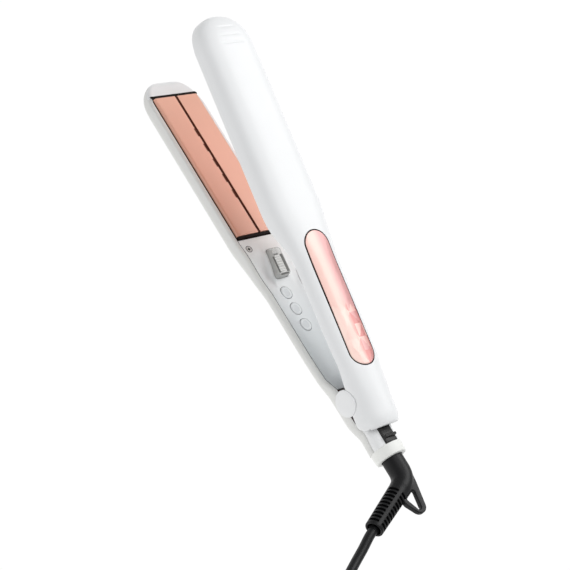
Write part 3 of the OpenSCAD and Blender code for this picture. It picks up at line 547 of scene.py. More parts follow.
# Painted light: lighter and darker copies of the inlay's rose, given facet by facet for their tilt to the
# lamps
FACET_PAINTED_LIGHTS = [
    inlay_painted_reflection("rose_facet_a_painted_light", (0, (0.86, 0.64, 0.57)), (0.5, PALE), (0.8, MILD), (1, MILD)),
    inlay_painted_reflection("rose_facet_b_painted_light", (0, (0.86, 0.63, 0.56)), (0.45, (0.84, 0.58, 0.52)), (0.7, ROSY), (1, PINK)),
    inlay_painted_reflection("rose_facet_c_painted_light", (0, (0.85, 0.61, 0.54)), (0.45, (0.82, 0.55, 0.49)), (0.62, PINK), (1, PINK)),
]

NODE_LOOKS = {
    WHITE: ["upper_inner_cover"],
    GREY_WHITE: ["hinge_bracket", "hinge_knuckle"],
    ROSE_PAINTED_SHADE: ["lower_plate_near", "lower_plate_far", "upper_plate_near", "upper_plate_far"],
    FRAME_BLACK: ["lower_plate_frame", "upper_plate_frame"],
    BLACK: ["swivel_sleeve"],
    STEEL: ["hinge_pin", "opening_spring", "button_switches", "lower_plate_springs", "upper_plate_springs",
            "upper_cover_screws"],
    ALU: ["steam_generator", "upper_heat_spreader"],
    COPPER_PAINTED_SHADE: ["lower_heat_spreader"],
    PLASTIC: ["swivel_bush", "steam_tube", "tank_seat"],
    DULL_STEEL: ["lower_cover_screws"],
    CERAMIC: ["thermal_fuse", "lower_heater", "lower_sensor", "upper_heater", "upper_sensor"],
    BOARD: ["control_board"],
    WIRE: ["power_wires", "arm_wires"],
    SOFT_BLACK: ["tank_stopper"],
    BRASS: ["plug_pins"],
}
for look, names in NODE_LOOKS.items():
    for name in names:
        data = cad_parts[name].data
        data.materials.clear()
        data.materials.append(look)

# The walls of the slit and of the steam notches between the lower plates are painted dark, as painted shade
WALL_REACH = 0.0035
for name in ("lower_plate_near", "lower_plate_far"):
    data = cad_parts[name].data
    data.materials.append(SLIT_SHADE)
    for p in data.polygons:
        if abs(p.center.y) < WALL_REACH and p.normal.z < 0.5:
            p.material_index = 1


# Lower shell with its cheeks. The tip's upward faces, one side by the plates and the cheeks are painted a
# brighter white than the rest, as painted light, and the rim is painted dark, as painted shadow, where the
# upper arm's rear end lies close over it
PAINTED_LIGHT_FROM, PAINTED_LIGHT_Y, PAINTED_LIGHT_D = 120, -8, 6
CREVICE_SHADE_START, CREVICE_SHADE_END, CREVICE_SHADE_D = -17.5, -6.5, 0.8
LEVEL = 0.3


def build_lower_shell():
    shape = shell_mesh(LOWER_STATIONS, half_w, soft_rim, depth, -TAIL_L, edge=soft_round)
    ob = object_of("lower_housing", shape)
    for v in ob.data.vertices:
        v.co.z = max(v.co.z, 0.0)
    # Painted light: the tip's upward faces and one side by the plates get the brighter white
    paint(ob, 1, lambda c, n: c.z > RIM_Z - PAINTED_LIGHT_D and ((c.x > WINDOW_END and abs(n.z) > LEVEL)
                                                          or (c.x > PAINTED_LIGHT_FROM and c.y < PAINTED_LIGHT_Y)))
    # Painted shadow: the rim is dark under the upper arm's rear end
    paint(ob, 2, lambda c, n: CREVICE_SHADE_START < c.x < CREVICE_SHADE_END and abs(n.z) > LEVEL
          and c.z > RIM_Z - lower_rim(c.x) - CREVICE_SHADE_D)
    # Painted light: the cheeks get the brighter white as well
    for s in (-1, 1):
        profile = [(CHEEK_R, EAR_Y + EAR_T + SEAM), (CHEEK_R, CHEEK_Y - 0.35),
                   (CHEEK_R - 0.1, CHEEK_Y - 0.15), (CHEEK_R - 0.35, CHEEK_Y), (CHEEK_R * 0.5, CHEEK_Y)]
        add_mesh(ob, turned_y(0, HINGE_Z, [(r, s * y) for r, y in profile]), 1)
    finished(ob, [GREY_WHITE, WHITE, GAP_SHADE], "root", ["lower_shell"])


# Lower inner cover: a dish, a thumb hollow and a raised seat round the tank
DISH_D, DISH_LIP, DISH_START, DISH_FULL = 2.1, 0.2, 8, 30
THUMB_D, THUMB_L, THUMB_W, THUMB_X, THUMB_Y = 2.4, 14, 4.6, TANK_MID - 2, 8.2
SEAT_RISE, SEAT_L, SEAT_X, SEAT_HALF, SEAT_SLOPE = 1.2, 17, TANK_MID - 1, TANK_W / 2 + 3, 2.2
COVER_T, COVER_GAP, COVER_REAR, COVER_EDGE = 1.6, 0.32, 11, 0.22
COVER_FRONT = WINDOW_X - SEAM
KEY_HOLE, TANK_HOLE, HOLE_LOW = 0.5, 0.6, 2


def hump(t):
    return 0.0 if abs(t) >= 1 else (1 - t * t) ** 2


def dish(x):
    return step(x, DISH_START, DISH_FULL, DISH_LIP, DISH_D) - step(x, DROP_START - 2, DROP_END - 4, 0, DISH_D)


def thumb(x, y):
    return THUMB_D * hump((x - THUMB_X) / THUMB_L) * hump((y - THUMB_Y) / THUMB_W)


def seat_rise(x, y):
    return SEAT_RISE * hump((x - SEAT_X) / SEAT_L) * ease((SEAT_HALF - abs(y - TANK_Y)) / SEAT_SLOPE)


def lower_face(x, y, w):
    return RIM_Z - lower_rim(x) - dish(x) * (1 - (y / w) ** 2) - thumb(x, y) + seat_rise(x, y)


def cover_mesh(face):
    n = 44
    xs = spaced(COVER_REAR, SHOULDER_START, 1.5) + spaced(SHOULDER_START, COVER_FRONT, 0.8) + [COVER_FRONT]
    rings = []
    for x in xs:
        w = half_w(x) - RIM_W - COVER_GAP
        ys = [w * (1 - 2 * k / n) for k in range(n + 1)]
        inside = [w - COVER_EDGE] + ys[1:-1] + [COVER_EDGE - w]
        top = [(x, y, face(x, y, w)) for y in inside]
        left, right = (x, w, face(x, w, w) - COVER_EDGE), (x, -w, face(x, -w, w) - COVER_EDGE)
        rings.append([left] + top + [right] + [(x, y, face(x, y, w) - COVER_T) for y in ys[::-1]])
    return loft(rings)


def build_lower_cover():
    ob = object_of("control_face", cover_mesh(lower_face))
    holes = [slot_points(BUTTON_X + i * BUTTON_PITCH, BUTTON_Y, BUTTON_L + KEY_HOLE, BUTTON_W + KEY_HOLE)
             for i in range(3)]
    holes.append(rounded_rect_points(TANK_MID, TANK_Y, TANK_L + TANK_HOLE, TANK_W + TANK_HOLE, 2.4))
    holes += [circle_at(SCREW_X, y, SCREW_HOLE_R, 40) for y in (-SCREW_Y, SCREW_Y)]
    cut(ob, joined(*[prism(hole, HOLE_LOW, FAR) for hole in holes]))
    # Painted shade: the cover's side walls along the rim are dark, for the parting line
    paint(ob, 1, lambda p, n: abs(n.z) < 0.4 and abs(p.y) > half_w(p.x) - RIM_W - COVER_GAP - 0.05)
    finished(ob, [COVER_PAINTED_SHADE, PARTING_SHADE], "root", ["lower_inner_cover"], angle=28)


# Painted shade in the slit and its steam notches, as dark strips over them, and the black edges of the
# frame's bars
NOTCH_N, NOTCH_PITCH, NOTCH_L, NOTCH_Y = 5, 12.4, 6.4, (1.25, 1.95)
SLIT_HALF, SLIT_END, LINE_DEPTH, LINE_PROUD, BAR_PROUD = 0.75, 0.3, 0.4, 0.01, 0.1
BAR_EDGES = [(WINDOW_X - 0.5, WINDOW_X + 0.3), (WINDOW_END - 0.3, WINDOW_END + 1.2)]


def build_plate_lines():
    z0, z1 = RIM_Z + PLATE_PROUD - LINE_DEPTH, RIM_Z + PLATE_PROUD + LINE_PROUD
    slit = block((PLATE_X + SLIT_END, -SLIT_HALF, z0), (PLATE_X + PLATE_L - SLIT_END, SLIT_HALF, z1))
    ob = object_of("slit_painted_shade", slit)
    for i in range(NOTCH_N):
        x = PLATE_X + PLATE_L / 2 + (i - NOTCH_N // 2) * NOTCH_PITCH
        add_mesh(ob, block((x - NOTCH_L / 2, NOTCH_Y[0], z0), (x + NOTCH_L / 2, NOTCH_Y[1], z1)), 1)
    finished(ob, [SLIT_SHADE, NOTCH_SHADE], "lower_plates")
    half, z0, z1 = WINDOW_W / 2, RIM_Z - LINE_DEPTH, RIM_Z + BAR_PROUD
    bars = [block((x0, -half, z0), (x1, half, z1)) for x0, x1 in BAR_EDGES]
    finished(object_of("bar_edges", joined(*bars)), FRAME_BLACK, "root")


# Painted shade: a dark cross for the recess of each screw beside the plates, and a dark ring for the gap
# round it
CROSS_L, CROSS_W, MARK_DEPTH, MARK_PROUD, RING_R = 1.8, 0.8, 0.2, 0.03, 2.0


def build_screw_shades():
    low, high = RIM_Z - MARK_DEPTH, RIM_Z + MARK_PROUD
    parts = []
    for y in (-SCREW_Y, SCREW_Y):
        for a, b, top in ((CROSS_L / 2, CROSS_W / 2, high), (CROSS_W / 2, CROSS_L / 2, high + 0.005)):
            parts.append(block((SCREW_X - a, y - b, low), (SCREW_X + a, y + b, top)))
        profile = [(SCREW_HOLE_R, low), (SCREW_HOLE_R, high), (RING_R, high), (RING_R, low),
                   (SCREW_HOLE_R, low)]
        parts.append(loft([[(a, b, z) for a, b in circle_at(SCREW_X, y, r, 40)] for r, z in profile], False))
    finished(object_of("screw_painted_shade", joined(*parts)), BLACK, "root")


# A button: a slot-shaped cap with a shallow oval in its face, and a dark ledge in the gap round it as painted
# shade
OVAL_INSET = 1.75
CAP_PROFILE = [(0.12, -3), (0.12, -0.3), (0.2, -0.1), (0.4, 0), (1.7, 0), (1.85, -0.06), (2.1, -0.1),
               (3.2, -0.08)]
LEDGE_PROFILE = [(-0.2, -2.6), (-0.2, -0.55), (0.1, -0.55), (0.1, -2.6)]


def button_shape(cx, profile):
    """A slot-shaped body: profile holds how far it stands in from the outline, and its height."""
    return loft([[(x, y, BUTTON_TOP + z)
                  for x, y in slot_points(cx, BUTTON_Y, BUTTON_L - 2 * inset, BUTTON_W - 2 * inset, 20)]
                 for inset, z in profile])


def build_button(name, i, body):
    cx = BUTTON_X + i * BUTTON_PITCH
    ob = object_of(name + "_cap", button_shape(cx, CAP_PROFILE))
    paint(ob, 1, lambda p, n: n.z > 0.5 and abs(p.y - BUTTON_Y) < BUTTON_W / 2 - OVAL_INSET
          and abs(p.x - cx) < BUTTON_L / 2 - OVAL_INSET)
    add_mesh(ob, button_shape(cx, LEDGE_PROFILE), 2)
    finished(ob, [COOL_WHITE, OVAL_GREY, PARTING_SHADE], body, [name], angle=50)


# Water tank: a clear block with a hollow inside, ribs across its sloping top, and dark patches of painted
# shade round them
TANK_WALL, TANK_ROUND, TANK_RIBS = 1.0, 2.2, 7
# Rounding of the block's edges: how far they stand in, and how far below the top
TANK_EDGE = [(0, None), (0, 1.0), (0.13, 0.5), (0.5, 0.13), (1.0, 0.0)]
# The ribbed pad, and the painted shade of the hollows round it: start and end along X, then along Y, and
# height
TANK_PAD = (94.2, 106.0, -4.4, 0.5, 0.2)
TANK_SHADES = [(94.6, 105.6, 0.5, 1.7, 0.06), (94.4, 106.4, -6.6, -4.5, 0.06), (93.2, 94.1, -5.6, 0.9, 0.08),
               (106.3, 107.1, -3.9, -0.4, 0.08)]
RIB_X, RIB_PITCH, RIB_R = 95.2, 1.6, 0.42
STEP_X, STEP_PITCH, STEP_R = 107.9, 1.1, 0.3


def tank_top_z(x):
    return TANK_TOP - (TANK_X + TANK_L - x) * math.tan(TANK_SLOPE)


def tank_shape(inset):
    rings = []
    for rounding, drop in TANK_EDGE:
        e = inset + rounding
        r = max(0.3, TANK_ROUND - e * 0.8)
        pts = rounded_rect_points(TANK_MID, TANK_Y, TANK_L - 2 * e, TANK_W - 2 * e, r)
        rings.append([(x, y, TANK_BOTTOM + inset if drop is None else tank_top_z(x) - (drop + inset))
                      for x, y in pts])
    return loft(rings)


def on_tank(x0, x1, y0, y1, high):
    """A thin plate that follows the tank's sloping top."""
    r = min(x1 - x0, y1 - y0) * 0.3
    pts = rounded_rect_points((x0 + x1) / 2, (y0 + y1) / 2, x1 - x0, y1 - y0, r, 4)
    return loft([[(x, y, tank_top_z(x) + h) for x, y in pts] for h in (-0.4, high)])


def build_tank():
    ob = object_of("tank_block", tank_shape(0))
    cut(ob, tank_shape(TANK_WALL))
    for shade in TANK_SHADES:
        add_mesh(ob, on_tank(*shade), 2)
    add_mesh(ob, on_tank(*TANK_PAD), 1)
    for i in range(TANK_RIBS):
        x = RIB_X + RIB_PITCH * i
        add_mesh(ob, across(x, tank_top_z(x) + 0.1, RIB_R, -4.2, 0.3, 16), 1)
    for i in range(3):
        x = STEP_X + STEP_PITCH * i
        add_mesh(ob, across(x, tank_top_z(x) - 0.1, STEP_R, -5.0 + 0.4 * i, 0.6 - 0.4 * i, 16), 1)
    finished(ob, [TANK, TANK_RIB, TANK_DARK], "tank", ["water_tank"], angle=30)


# Upper shell, with soft grooves at its tip, pockets for the cheeks and the inlay's recess
GROOVES = [(REACH - 10.1, 6.2), (REACH - 16.0, 7.8), (REACH - 21.5, 8.8)]
GROOVE_DEPTH, GROOVE_W, GROOVE_END_L, GROOVES_FROM, GROOVES_BELOW = 0.3, 0.75, 1.6, REACH - 26, 8
FINE_START, FINE_END, FINE_PITCH = REACH - 25, REACH - 7, 0.3
RECESS_GAP, RECESS_SHIFT, RECESS_D, OUTSIDE = INLAY_GAP + 0.35, 0.3, 1.35, -3
POCKET_GAP, POCKET_TOP, POCKET_END = 0.3, RIM_Z - 6.3, -9.5


def grooves(x, y, d):
    """How far the grooves sink the outside, at a place that lies d below the rim plane."""
    if x < GROOVES_FROM or d < GROOVES_BELOW:
        return 0.0
    return sum(GROOVE_DEPTH * math.exp(-((x - at) / GROOVE_W) ** 2)
               * (1 - ease((abs(y) - half + 1.2) / GROOVE_END_L)) for at, half in GROOVES)


def crown(x, y):
    """Depth of the upper arm's back below the rim plane."""
    w, t, n = upper_half(x), upper_depth(x), power(x)
    r = upper_rim(x) + min(round_r(x), w)
    return r + (t - r) * max(0.0, 1 - (abs(y) / w) ** n) ** (1 / n)


def on_crown(ring, sink):
    return [(x, y, RIM_Z - crown(x, y) + sink) for x, y in ring]


def inlay_rings(grow, levels):
    """Rings of points that shrink from the inlay's outline to its middle line."""
    length, width = INLAY_L + 2 * grow, INLAY_W + 2 * grow
    n, m = 24, 90
    r, h = width / 2, (length - width) / 2
    out, mid = [], []
    for s in (1, -1):
        for k in range(n + 1):
            a = math.pi * (k / n - 0.5)
            out.append((INLAY_MID + s * (h + r * math.cos(a)), s * r * math.sin(a)))
            mid.append((INLAY_MID + s * h, 0.0))
        for k in range(1, m):
            x = INLAY_MID + s * (h - 2 * h * k / m)
            out.append((x, s * r))
            mid.append((x, 0.0))
    return [[(mx + (ox - mx) * t, my + (oy - my) * t) for (ox, oy), (mx, my) in zip(out, mid)]
            for t in levels]


def upper_places():
    """Places along the upper arm, closest together at the grooves."""
    xs = sorted([x for x in UPPER_STATIONS if x < FINE_START or x >= FINE_END]
                + spaced(FINE_START, FINE_END, FINE_PITCH) + [WINDOW_END])
    return [x for i, x in enumerate(xs) if x == WINDOW_END
            or (abs(x - WINDOW_END) > 0.12 and (i == 0 or x - xs[i - 1] > 0.02))]


def build_upper_shell():
    shape = shell_mesh(upper_places(), upper_half, upper_rim, upper_depth, REAR_X + REAR_CURVE, grooves)
    ob = object_of("upper_housing", shape)
    ears = ((-FAR, SEAM - EAR_Y), (EAR_Y - SEAM, FAR))
    cut(ob, joined(*[across(0, HINGE_Z, CHEEK_R + POCKET_GAP, y0, y1, 96) for y0, y1 in ears]))
    half = EAR_Y + POCKET_GAP
    cut(ob, block((REAR_X - 0.6, -half, POCKET_TOP), (POCKET_END, half, FAR)))
    rings = [[(x, y + RECESS_SHIFT) for x, y in ring]
             for ring in inlay_rings(RECESS_GAP, [0.02, 0.25, 0.5, 0.75, 0.9, 1.0])]
    cut(ob, loft([on_crown(ring, RECESS_D) for ring in rings]
                 + [on_crown(ring, OUTSIDE) for ring in rings[::-1]]))
    # Painted shade: the walls and floor of the inlay's recess are dark
    paint(ob, 1, lambda c, n: abs(c.x - INLAY_MID) < INLAY_L / 2 + 1.5 and abs(c.y) < INLAY_W / 2 + 1.4
          and 0.3 < c.z - RIM_Z + crown(c.x, c.y) < 1.5)
    finished(ob, [WHITE, GAP_SHADE], "upper_arm", ["upper_shell"], upper=True)


# Rose inlay: smooth near the plates, and cut in shallow facets towards the hinge. The facets carry three
# tones of painted light, and the side walls are dark with painted shade
FACET_L, FACET_W, FACET_SHIFT, FACET_DEPTH = 8.2, 5.6, 0.35, 0.42
FADE_FROM, FADE_L, FACETS_END, WAVE_D, WAVE_RATE = 44, 18, 53, 2.2, 0.55
INLAY_SINK, INLAY_BACK = 0.04, 1.2


def facet_cell(x, y):
    """The cell of the facet grid that a place lies in, and the place within it."""
    u, v = x / FACET_L, y / FACET_W + FACET_SHIFT
    return math.floor(u), math.floor(v), u - math.floor(u), v - math.floor(v)


def corner_height(a, b):
    return 0.5 + 0.5 * math.sin(2.4 * a + 4.1 * b + 1.7 * a * b % 6.0)


def facet_height(x, y):
    a, b, u, v = facet_cell(x, y)
    near, right, up, far = (corner_height(a + i, b + j) for i, j in ((0, 0), (1, 0), (0, 1), (1, 1)))
    if (a + b) % 2:
        if u + v < 1:
            return near * (1 - u - v) + right * u + up * v
        return far * (u + v - 1) + right * (1 - v) + up * (1 - u)
    if u > v:
        return near * (1 - u) + right * (u - v) + far * v
    return near * (1 - v) + up * (v - u) + far * u


def facet_light_tone(x, y):
    """Which of three tones of painted light the facet at a place has, standing in for its tilt to the lamps.
    """
    a, b, u, v = facet_cell(x, y)
    half = (u + v < 1) if (a + b) % 2 else (u > v)
    return (3 * a + 5 * b + (2 if half else 0) + a * b) % 3


def build_inlay():
    n = 24
    rings = inlay_rings(0, [0.01] + [k / n for k in range(1, n)] + [0.985, 1.0])
    edges = [0.0] * n + [0.05, 0.25]
    top = []
    for ring, edge in zip(rings, edges):
        row = []
        for x, y in ring:
            fade = 1 - ease((x - FADE_FROM) / FADE_L)
            sink = FACET_DEPTH * fade * facet_height(x, y) + INLAY_SINK + edge
            row.append((x, y, RIM_Z - crown(x, y) + sink))
        top.append(row)
    ob = object_of("rose_inlay_skin", loft(top + [on_crown(rings[k], INLAY_BACK) for k in (-1, n // 2, 0)]))
    for p in ob.data.polygons:
        x, y = p.center.x, p.center.y
        # Painted shade: the inlay's side walls are dark, for the gap round it
        if abs(p.normal.z) < 0.45 and p.center.z > RIM_Z - crown(x, y) + 0.3:
            p.material_index = 4
        elif x < FACETS_END - WAVE_D * math.sin(y * WAVE_RATE):
            p.material_index = 1 + facet_light_tone(x, y)
    finished(ob, [INLAY_PAINTED_REFLECTION] + FACET_PAINTED_LIGHTS + [GAP_SHADE], "upper_arm", ["handle_inlay"], angle=22,
             upper=True)


# Upper half of the tail, with the slot of the lock slider
TAIL_TOP, TAIL_FRONT, TAIL_HALF = 3.9, -12.5, 10.6
LOCK_REAR, LOCK_FRONT, LOCK_HALF, LOCK_TRAVEL = -31.4, -20.8, 4.45, 3.5
LOCK_BOTTOM, LOCK_TOP, SLOT_GAP = 15.2, RIM_Z + 4.7, 0.25
RIB_START, RIB_END, RIB_TOP = -28.8, -27.0, LOCK_TOP + 1.9
LINE_XS, LINE_LONG = (-26.2, -25.2, -24.2), 3.9


def build_tail_cover():
    n = 40
    rings = []
    for x in spaced(-TAIL_L, TAIL_FRONT, 0.8) + [TAIL_FRONT]:
        w = min(half_w(x) - SEAM / 2, TAIL_HALF)
        base = SEAM - lower_rim(x)
        ring = []
        for k in range(n, -1, -1):
            a = math.pi * k / n
            z = base + (TAIL_TOP - base) * max(0.0, math.sin(a)) ** 0.72
            ring.append((x, w * math.cos(a), RIM_Z + z))
        rings.append(ring)
    ob = object_of("tail_top", loft(rings))
    cut(ob, block((LOCK_REAR - SLOT_GAP, -LOCK_HALF - SLOT_GAP, 0),
                  (LOCK_FRONT + LOCK_TRAVEL + SLOT_GAP, LOCK_HALF + SLOT_GAP, FAR)))
    finished(ob, WHITE, "root", ["tail_cover"], angle=40)


# Lock slider with its rib
def soft_block(a, b, r):
    """A block with rounded upright edges and a rounded top."""
    (x0, y0, z0), (x1, y1, z1) = a, b
    rings = []
    for inset, z in [(0, z0), (0, z1 - r), (0.3 * r, z1 - 0.3 * r), (r, z1)]:
        length, width = x1 - x0 - 2 * inset, y1 - y0 - 2 * inset
        pts = rounded_rect_points((x0 + x1) / 2, (y0 + y1) / 2, length, width, r, 3)
        rings.append([(x, y, z) for x, y in pts])
    return loft(rings)


def build_slider():
    pad = soft_block((LOCK_REAR, -LOCK_HALF, LOCK_BOTTOM), (LOCK_FRONT, LOCK_HALF, LOCK_TOP), 0.35)
    ob = object_of("lock_thumb", pad)
    add_mesh(ob, soft_block((RIB_START, -LOCK_HALF, LOCK_TOP - 0.4), (RIB_END, LOCK_HALF, RIB_TOP), 0.5))
    for x in LINE_XS:
        low, high = LOCK_TOP - 0.3, LOCK_TOP + 0.18
        add_mesh(ob, soft_block((x - 0.25, -LINE_LONG, low), (x + 0.25, LINE_LONG, high), 0.12))
    finished(ob, BLACK, "lock", ["lock_slider"], angle=40)


# Collar at the end of the tail
BORE_R, LIP_R = 7.4, 6.95


def build_collar():
    x0, x1 = -TAIL_L, -TAIL_L - COLLAR_L
    profile = [(x0, BORE_R), (x0, COLLAR_R - 0.25), (x0 - 0.25, COLLAR_R - 0.02), (x1 + 0.7, COLLAR_R - 0.47),
               (x1 + 0.2, COLLAR_R - 0.68), (x1, COLLAR_R - 1.1), (x1, LIP_R), (x1 + 1.5, LIP_R),
               (x1 + 1.5, BORE_R)]
    ob = object_of("collar_band", turned_x(0, AXIS_Z, profile, 96, closed=True))
    finished(ob, IVORY, "root", ["collar_ring"], angle=35)


# Rings of points round a line
UP = Vector((0, 0, 1))


def sides(t):
    """Two directions square to t and to each other."""
    s = t.cross(UP).normalized()
    return s, s.cross(t)


def ring_round(p, t, r, n):
    s, w = sides(t)
    return [tuple(p + r * (a * s + b * w)) for a, b in circle(1, n)]


def tube(pts, r, n):
    rings = []
    for i, p in enumerate(pts):
        t = (pts[min(i + 1, len(pts) - 1)] - pts[max(i - 1, 0)]).normalized()
        rings.append(ring_round(p, t, r, n))
    return loft(rings)


# Strain relief: straight out of the collar, round the elbow, then down along the slotted part
COLLAR_END = -TAIL_L - COLLAR_L
RELIEF_X = -TAIL_L - 5.3
ELBOW = Vector((COLLAR_END - 15.5, 0.5, AXIS_Z))
RELIEF_D = Vector((-0.446, 0.889, -0.102)).normalized()
RELIEF_L, RELIEF_R, MOUTH_R, BEND = 41.0, 6.7, 5.6, 7.0
NARROW_R = RELIEF_R - 0.2
MOUTH = ELBOW + RELIEF_L * RELIEF_D
MOUTH_PROFILE = [(-0.35, MOUTH_R - 0.08), (-0.08, MOUTH_R - 0.35), (0, MOUTH_R - 0.7), (-0.15, 4.35),
                 (-0.6, 4.1), (-4.5, 4.0), (-4.6, 2.6)]
SLOT_RINGS, SLOT_START, SLOT_PITCH, SLOT_L, SLOT_DEPTH, BRIDGE_HALF = 10, 12, 2.8, 1.75, 1.6, 1.1


def relief_radius(s):
    return NARROW_R + (MOUTH_R - NARROW_R) * s / RELIEF_L


def relief_body():
    a, b = Vector((ELBOW.x + BEND, 0, AXIS_Z)), ELBOW + BEND * RELIEF_D
    line = [Vector((x, 0, AXIS_Z)) for x in (RELIEF_X, COLLAR_END - 0.1, COLLAR_END - 1)]
    radii = [RELIEF_R] * 3
    for k in range(17):
        t = k / 16
        line.append((1 - t) ** 2 * a + 2 * t * (1 - t) * ELBOW + t * t * b)
        radii.append(RELIEF_R - (RELIEF_R - NARROW_R) * t)
    bent = len(line)
    n = 34
    for k in range(1, n + 1):
        s = BEND + (RELIEF_L - 0.7 - BEND) * k / n
        line.append(ELBOW + s * RELIEF_D)
        radii.append(relief_radius(s))
    for s, r in MOUTH_PROFILE:
        line.append(ELBOW + (RELIEF_L + s) * RELIEF_D)
        radii.append(r)
    rings = []
    for i, p in enumerate(line):
        t = (line[i + 1] - line[max(i - 1, 0)]).normalized() if i < bent else RELIEF_D
        rings.append(ring_round(p, t, radii[i], 48))
    return loft(rings)


def relief_slot(s0, q):
    """One quarter of a ring of slots, s0 along the relief."""
    s_axis, u_axis = sides(RELIEF_D)
    r = relief_radius(s0)
    edge = math.asin(BRIDGE_HALF / r)
    a0, a1 = math.pi / 2 * q + edge, math.pi / 2 * (q + 1) - edge
    arc = [math.cos(a) * s_axis + math.sin(a) * u_axis for a in (a0 + (a1 - a0) * k / 8 for k in range(9))]
    return loft([[tuple(ELBOW + s * RELIEF_D + (r + 1.5) * d) for d in arc]
                 + [tuple(ELBOW + s * RELIEF_D + (r - SLOT_DEPTH) * d) for d in arc[::-1]]
                 for s in (s0, s0 + SLOT_L)])


def build_relief():
    ob = object_of("relief_boot", relief_body())
    slots = [relief_slot(SLOT_START + SLOT_PITCH * i, q) for i in range(SLOT_RINGS) for q in range(4)]
    cut(ob, joined(*slots))
    add_mesh(ob, loop_shape())
    finished(ob, SOFT_BLACK, "swivel", ["strain_relief"], angle=36)


# Hanging loop: a flat band between two hulls of circles, given by x, y and radius
LOOP_OUTER = [(-52, -4.4, 2.2), (-57, -3.6, 2.2), (-70.8, 2.2, 5.1), (-66, 7, 3.8), (-58.5, 6, 2.4)]
LOOP_HOLE = [(-62.6, 0.4, 1.1), (-71.6, 2.9, 1.8), (-65.6, 6.5, 1.1)]
LOOP_HALF, LOOP_ROUND = 1.6, 0.7


def support(circles, t):
    """The point where a hull of circles reaches furthest in a direction."""
    u = (math.cos(t), math.sin(t))
    x, y, r = max(circles, key=lambda q: q[0] * u[0] + q[1] * u[1] + q[2])
    return x + r * u[0], y + r * u[1]


def loop_shape():
    n = 160
    rings = []
    for k in range(n + 1):
        t = 2 * math.pi * (k % n) / n
        outer, inner = Vector(support(LOOP_OUTER, t)), Vector(support(LOOP_HOLE, t))
        d = (outer - inner).normalized()
        turns = [math.radians(a) for a in range(0, 91, 18)]
        half = [(outer - d * LOOP_ROUND * (1 - math.cos(a)), a) for a in turns]
        half += [(inner + d * LOOP_ROUND * (1 - math.cos(a)), a) for a in turns[::-1]]
        half = [(p, LOOP_HALF - LOOP_ROUND + LOOP_ROUND * math.sin(a)) for p, a in half]
        rings.append([(p[0], p[1], AXIS_Z + z) for p, z in half + [(p, -z) for p, z in half[::-1]]])
    return loft(rings, False)


# The cord: out of the mouth, down to the table, into its coil, and up onto it to the plug
CORD_D = 5.8
COIL_START = Vector((-150, 99.2, 2.9))
COIL_R, COIL_TURNS, COIL_STEP, COIL_FROM, COIL_N = 25.2, 3.5, 6.3, 90.0, 48
COIL_RISE = CORD_D + 0.45
COIL_OUT = COIL_R + COIL_TURNS * COIL_STEP
ROUTE = [Vector(p) for p in ((-80, 49.3, 4.4), (-85, 58, 3.3), (-91, 68.4, 2.9), (-97, 78, 2.9),
                             (-105, 86.8, 2.9), (-115, 93.6, 2.9), (-126.5, 97.8, 2.9), (-138.5, 99.4, 2.9))]


def flat_way(a):
    return Vector((math.cos(math.radians(a)), math.sin(math.radians(a)), 0))


COIL_MID = COIL_START - COIL_OUT * flat_way(COIL_FROM)


def coil_at(u):
    """The coil's middle line after u turns: inwards below, and outwards again on top."""
    return (COIL_MID + (COIL_R + abs(u - COIL_TURNS) * COIL_STEP) * flat_way(COIL_FROM + 360 * u)
            + Vector((0, 0, COIL_RISE * ease((u - COIL_TURNS + 0.25) * 2))))


PLUG_T, LEAD_ROUND, LEAD_BEND, LEAD_R = 14.0, 45.0, 90.0, 25.0
LEAD_FROM = COIL_FROM + 720 * COIL_TURNS
LEAD_RISE = CORD_D / 2 + 0.1 + PLUG_T / 2


def lead_run(q):
    return min(q, LEAD_ROUND) * COIL_OUT + max(0, q - LEAD_ROUND) * LEAD_R


def lead_at(q):
    """The last stretch, q degrees on from the coil: along it, then round onto it."""
    a = min(q, LEAD_ROUND)
    out = COIL_OUT + COIL_STEP * a / 360
    return (COIL_MID + (out - LEAD_R) * flat_way(LEAD_FROM + a)
            + LEAD_R * flat_way(LEAD_FROM + a + max(0, q - LEAD_ROUND))
            + Vector((0, 0, COIL_RISE + LEAD_RISE * ease(lead_run(q) / lead_run(LEAD_ROUND + LEAD_BEND)))))


PLUG_EXIT, PLUG_TURN = lead_at(LEAD_ROUND + LEAD_BEND), LEAD_FROM + LEAD_ROUND + LEAD_BEND + 90


def smooth_line(pts, per):
    """A smooth line through points."""
    out = []
    for i in range(len(pts) - 1):
        p0, p1, p2, p3 = pts[max(i - 1, 0)], pts[i], pts[i + 1], pts[min(i + 2, len(pts) - 1)]
        for k in range(per):
            t = k / per
            out.append(0.5 * (2 * p1 + (p2 - p0) * t + (2 * p0 - 5 * p1 + 4 * p2 - p3) * t * t
                              + (3 * p1 - p0 - 3 * p2 + p3) * t ** 3))
    return out + [pts[-1]]


def build_cord():
    start = [MOUTH - 4.4 * RELIEF_D, MOUTH, MOUTH + CORD_D * RELIEF_D]
    free = smooth_line(start + ROUTE + [COIL_START], 4)[:-1]
    coil = [coil_at(i / COIL_N) for i in range(int(2 * COIL_TURNS * COIL_N))]
    path = free + coil + [lead_at(q) for q in range(0, int(LEAD_ROUND + LEAD_BEND) + 1, 5)]
    ob = object_of("power_cord", tube(path, CORD_D / 2, 20))
    finished(ob, SOFT_BLACK, None, ["cord", "cord_coil"], angle=50)
    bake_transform(ob)
    return ob, path


# Body of the flat plug, with its ribbed neck
PLUG_X, PLUG_L, PLUG_W = 21.5, 23, 35
PLUG_SIDE = [(0.0, 0.3), (0.0, 5.2), (0.5, 6.5), (1.6, 7)]
PLUG_PROFILE = [(inset, -z) for inset, z in PLUG_SIDE[::-1]] + [(0.25, 0)] + PLUG_SIDE


